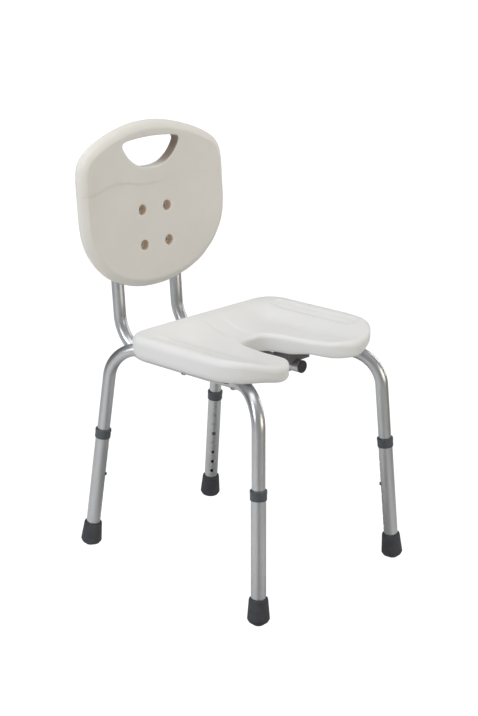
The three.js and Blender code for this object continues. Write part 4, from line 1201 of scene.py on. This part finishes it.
bg = wn.nodes.new("ShaderNodeBackground")
tc = wn.nodes.new("ShaderNodeTexCoord")
sep = wn.nodes.new("ShaderNodeSeparateXYZ")
wn.links.new(tc.outputs["Generated"], sep.inputs["Vector"])
mr = wn.nodes.new("ShaderNodeMapRange")
mr.inputs["From Min"].default_value, mr.inputs["From Max"].default_value = -1, 1
wn.links.new(sep.outputs["Z"], mr.inputs["Value"])
wr = wn.nodes.new("ShaderNodeValToRGB")
e = wr.color_ramp.elements
e[0].position, e[0].color = 0.0, (0.9, 0.9, 0.9, 1)
e[1].position, e[1].color = 1.0, (1.0, 1.0, 1.0, 1)
for pos, c in ((0.47, 0.9), (0.53, 0.74), (0.66, 0.55), (0.82, 0.8)):
    q = e.new(pos)
    q.color = (c, c, c, 1)
wn.links.new(mr.outputs["Result"], wr.inputs["Fac"])
white = wn.nodes.new("ShaderNodeBackground")
white.inputs["Color"].default_value = (1, 1, 1, 1)
white.inputs["Strength"].default_value = 1.25
lp = wn.nodes.new("ShaderNodeLightPath")
mix = wn.nodes.new("ShaderNodeMixShader")
wn.links.new(wr.outputs["Color"], bg.inputs["Color"])
back = wn.nodes.new("ShaderNodeMapRange")
back.inputs["From Min"].default_value, back.inputs["From Max"].default_value = -0.7, 0.7
back.inputs["To Min"].default_value, back.inputs["To Max"].default_value = 0.64, 0.28
wn.links.new(sep.outputs["Y"], back.inputs["Value"])
wn.links.new(back.outputs["Result"], bg.inputs["Strength"])
wn.links.new(lp.outputs["Is Camera Ray"], mix.inputs["Fac"])
wn.links.new(bg.outputs["Background"], mix.inputs[1])
wn.links.new(white.outputs["Background"], mix.inputs[2])
wn.links.new(mix.outputs["Shader"], wo.inputs["Surface"])


def area_light(name, loc, target, size, energy, color=(1, 1, 1)):
    l = bpy.data.lights.new(name, "AREA")
    l.shape = "RECTANGLE"
    l.size, l.size_y = size
    l.energy = energy
    l.color = color
    o = bpy.data.objects.new(name, l)
    scene.collection.objects.link(o)
    o.location = loc
    d = Vector(target) - Vector(loc)
    o.rotation_mode = "QUATERNION"
    o.rotation_quaternion = d.to_track_quat("-Z", "Y")
    return o


area_light("top_softbox", (-0.5, 0.3, 3.4), (0, 0, 0.4), (3.0, 3.0), 47)
area_light("left_softbox", (-3.0, 0.25, 1.8), (0, 0.1, 0.6), (0.9, 2.0), 36, (0.95, 0.98, 1.0))
area_light("front_fill", (0.9, -3.4, 0.95), (0, 0, 0.6), (2.2, 1.5), 25, (1.0, 0.93, 0.76))
area_light("right_strip", (3.0, -0.4, 1.3), (0, 0, 0.4), (0.5, 2.4), 16)

cam_data = bpy.data.cameras.new("camera")
cam_data.sensor_width = 36.0
cam_data.sensor_fit = "AUTO"
cam_data.lens = 1479.98 * 36.0 / 716.0
cam_data.clip_start, cam_data.clip_end = 0.05, 60
cam = bpy.data.objects.new("camera", cam_data)
scene.collection.objects.link(cam)
cam.location = (-2.08169, (-1961.63 + YS) * 0.001, 1.33432)
yaw, pitch = math.radians(46.82282), math.radians(17.58695)
fwd = Vector((math.cos(pitch) * math.sin(yaw), math.cos(pitch) * math.cos(yaw), -math.sin(pitch)))
cam.rotation_mode = "QUATERNION"
cam.rotation_quaternion = fwd.to_track_quat("-Z", "Y")
scene.camera = cam
scene.view_settings.view_transform = "Standard"
scene.view_settings.look = "None"
scene.view_settings.exposure = 0.0
scene.view_settings.gamma = 1.0

lo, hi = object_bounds()
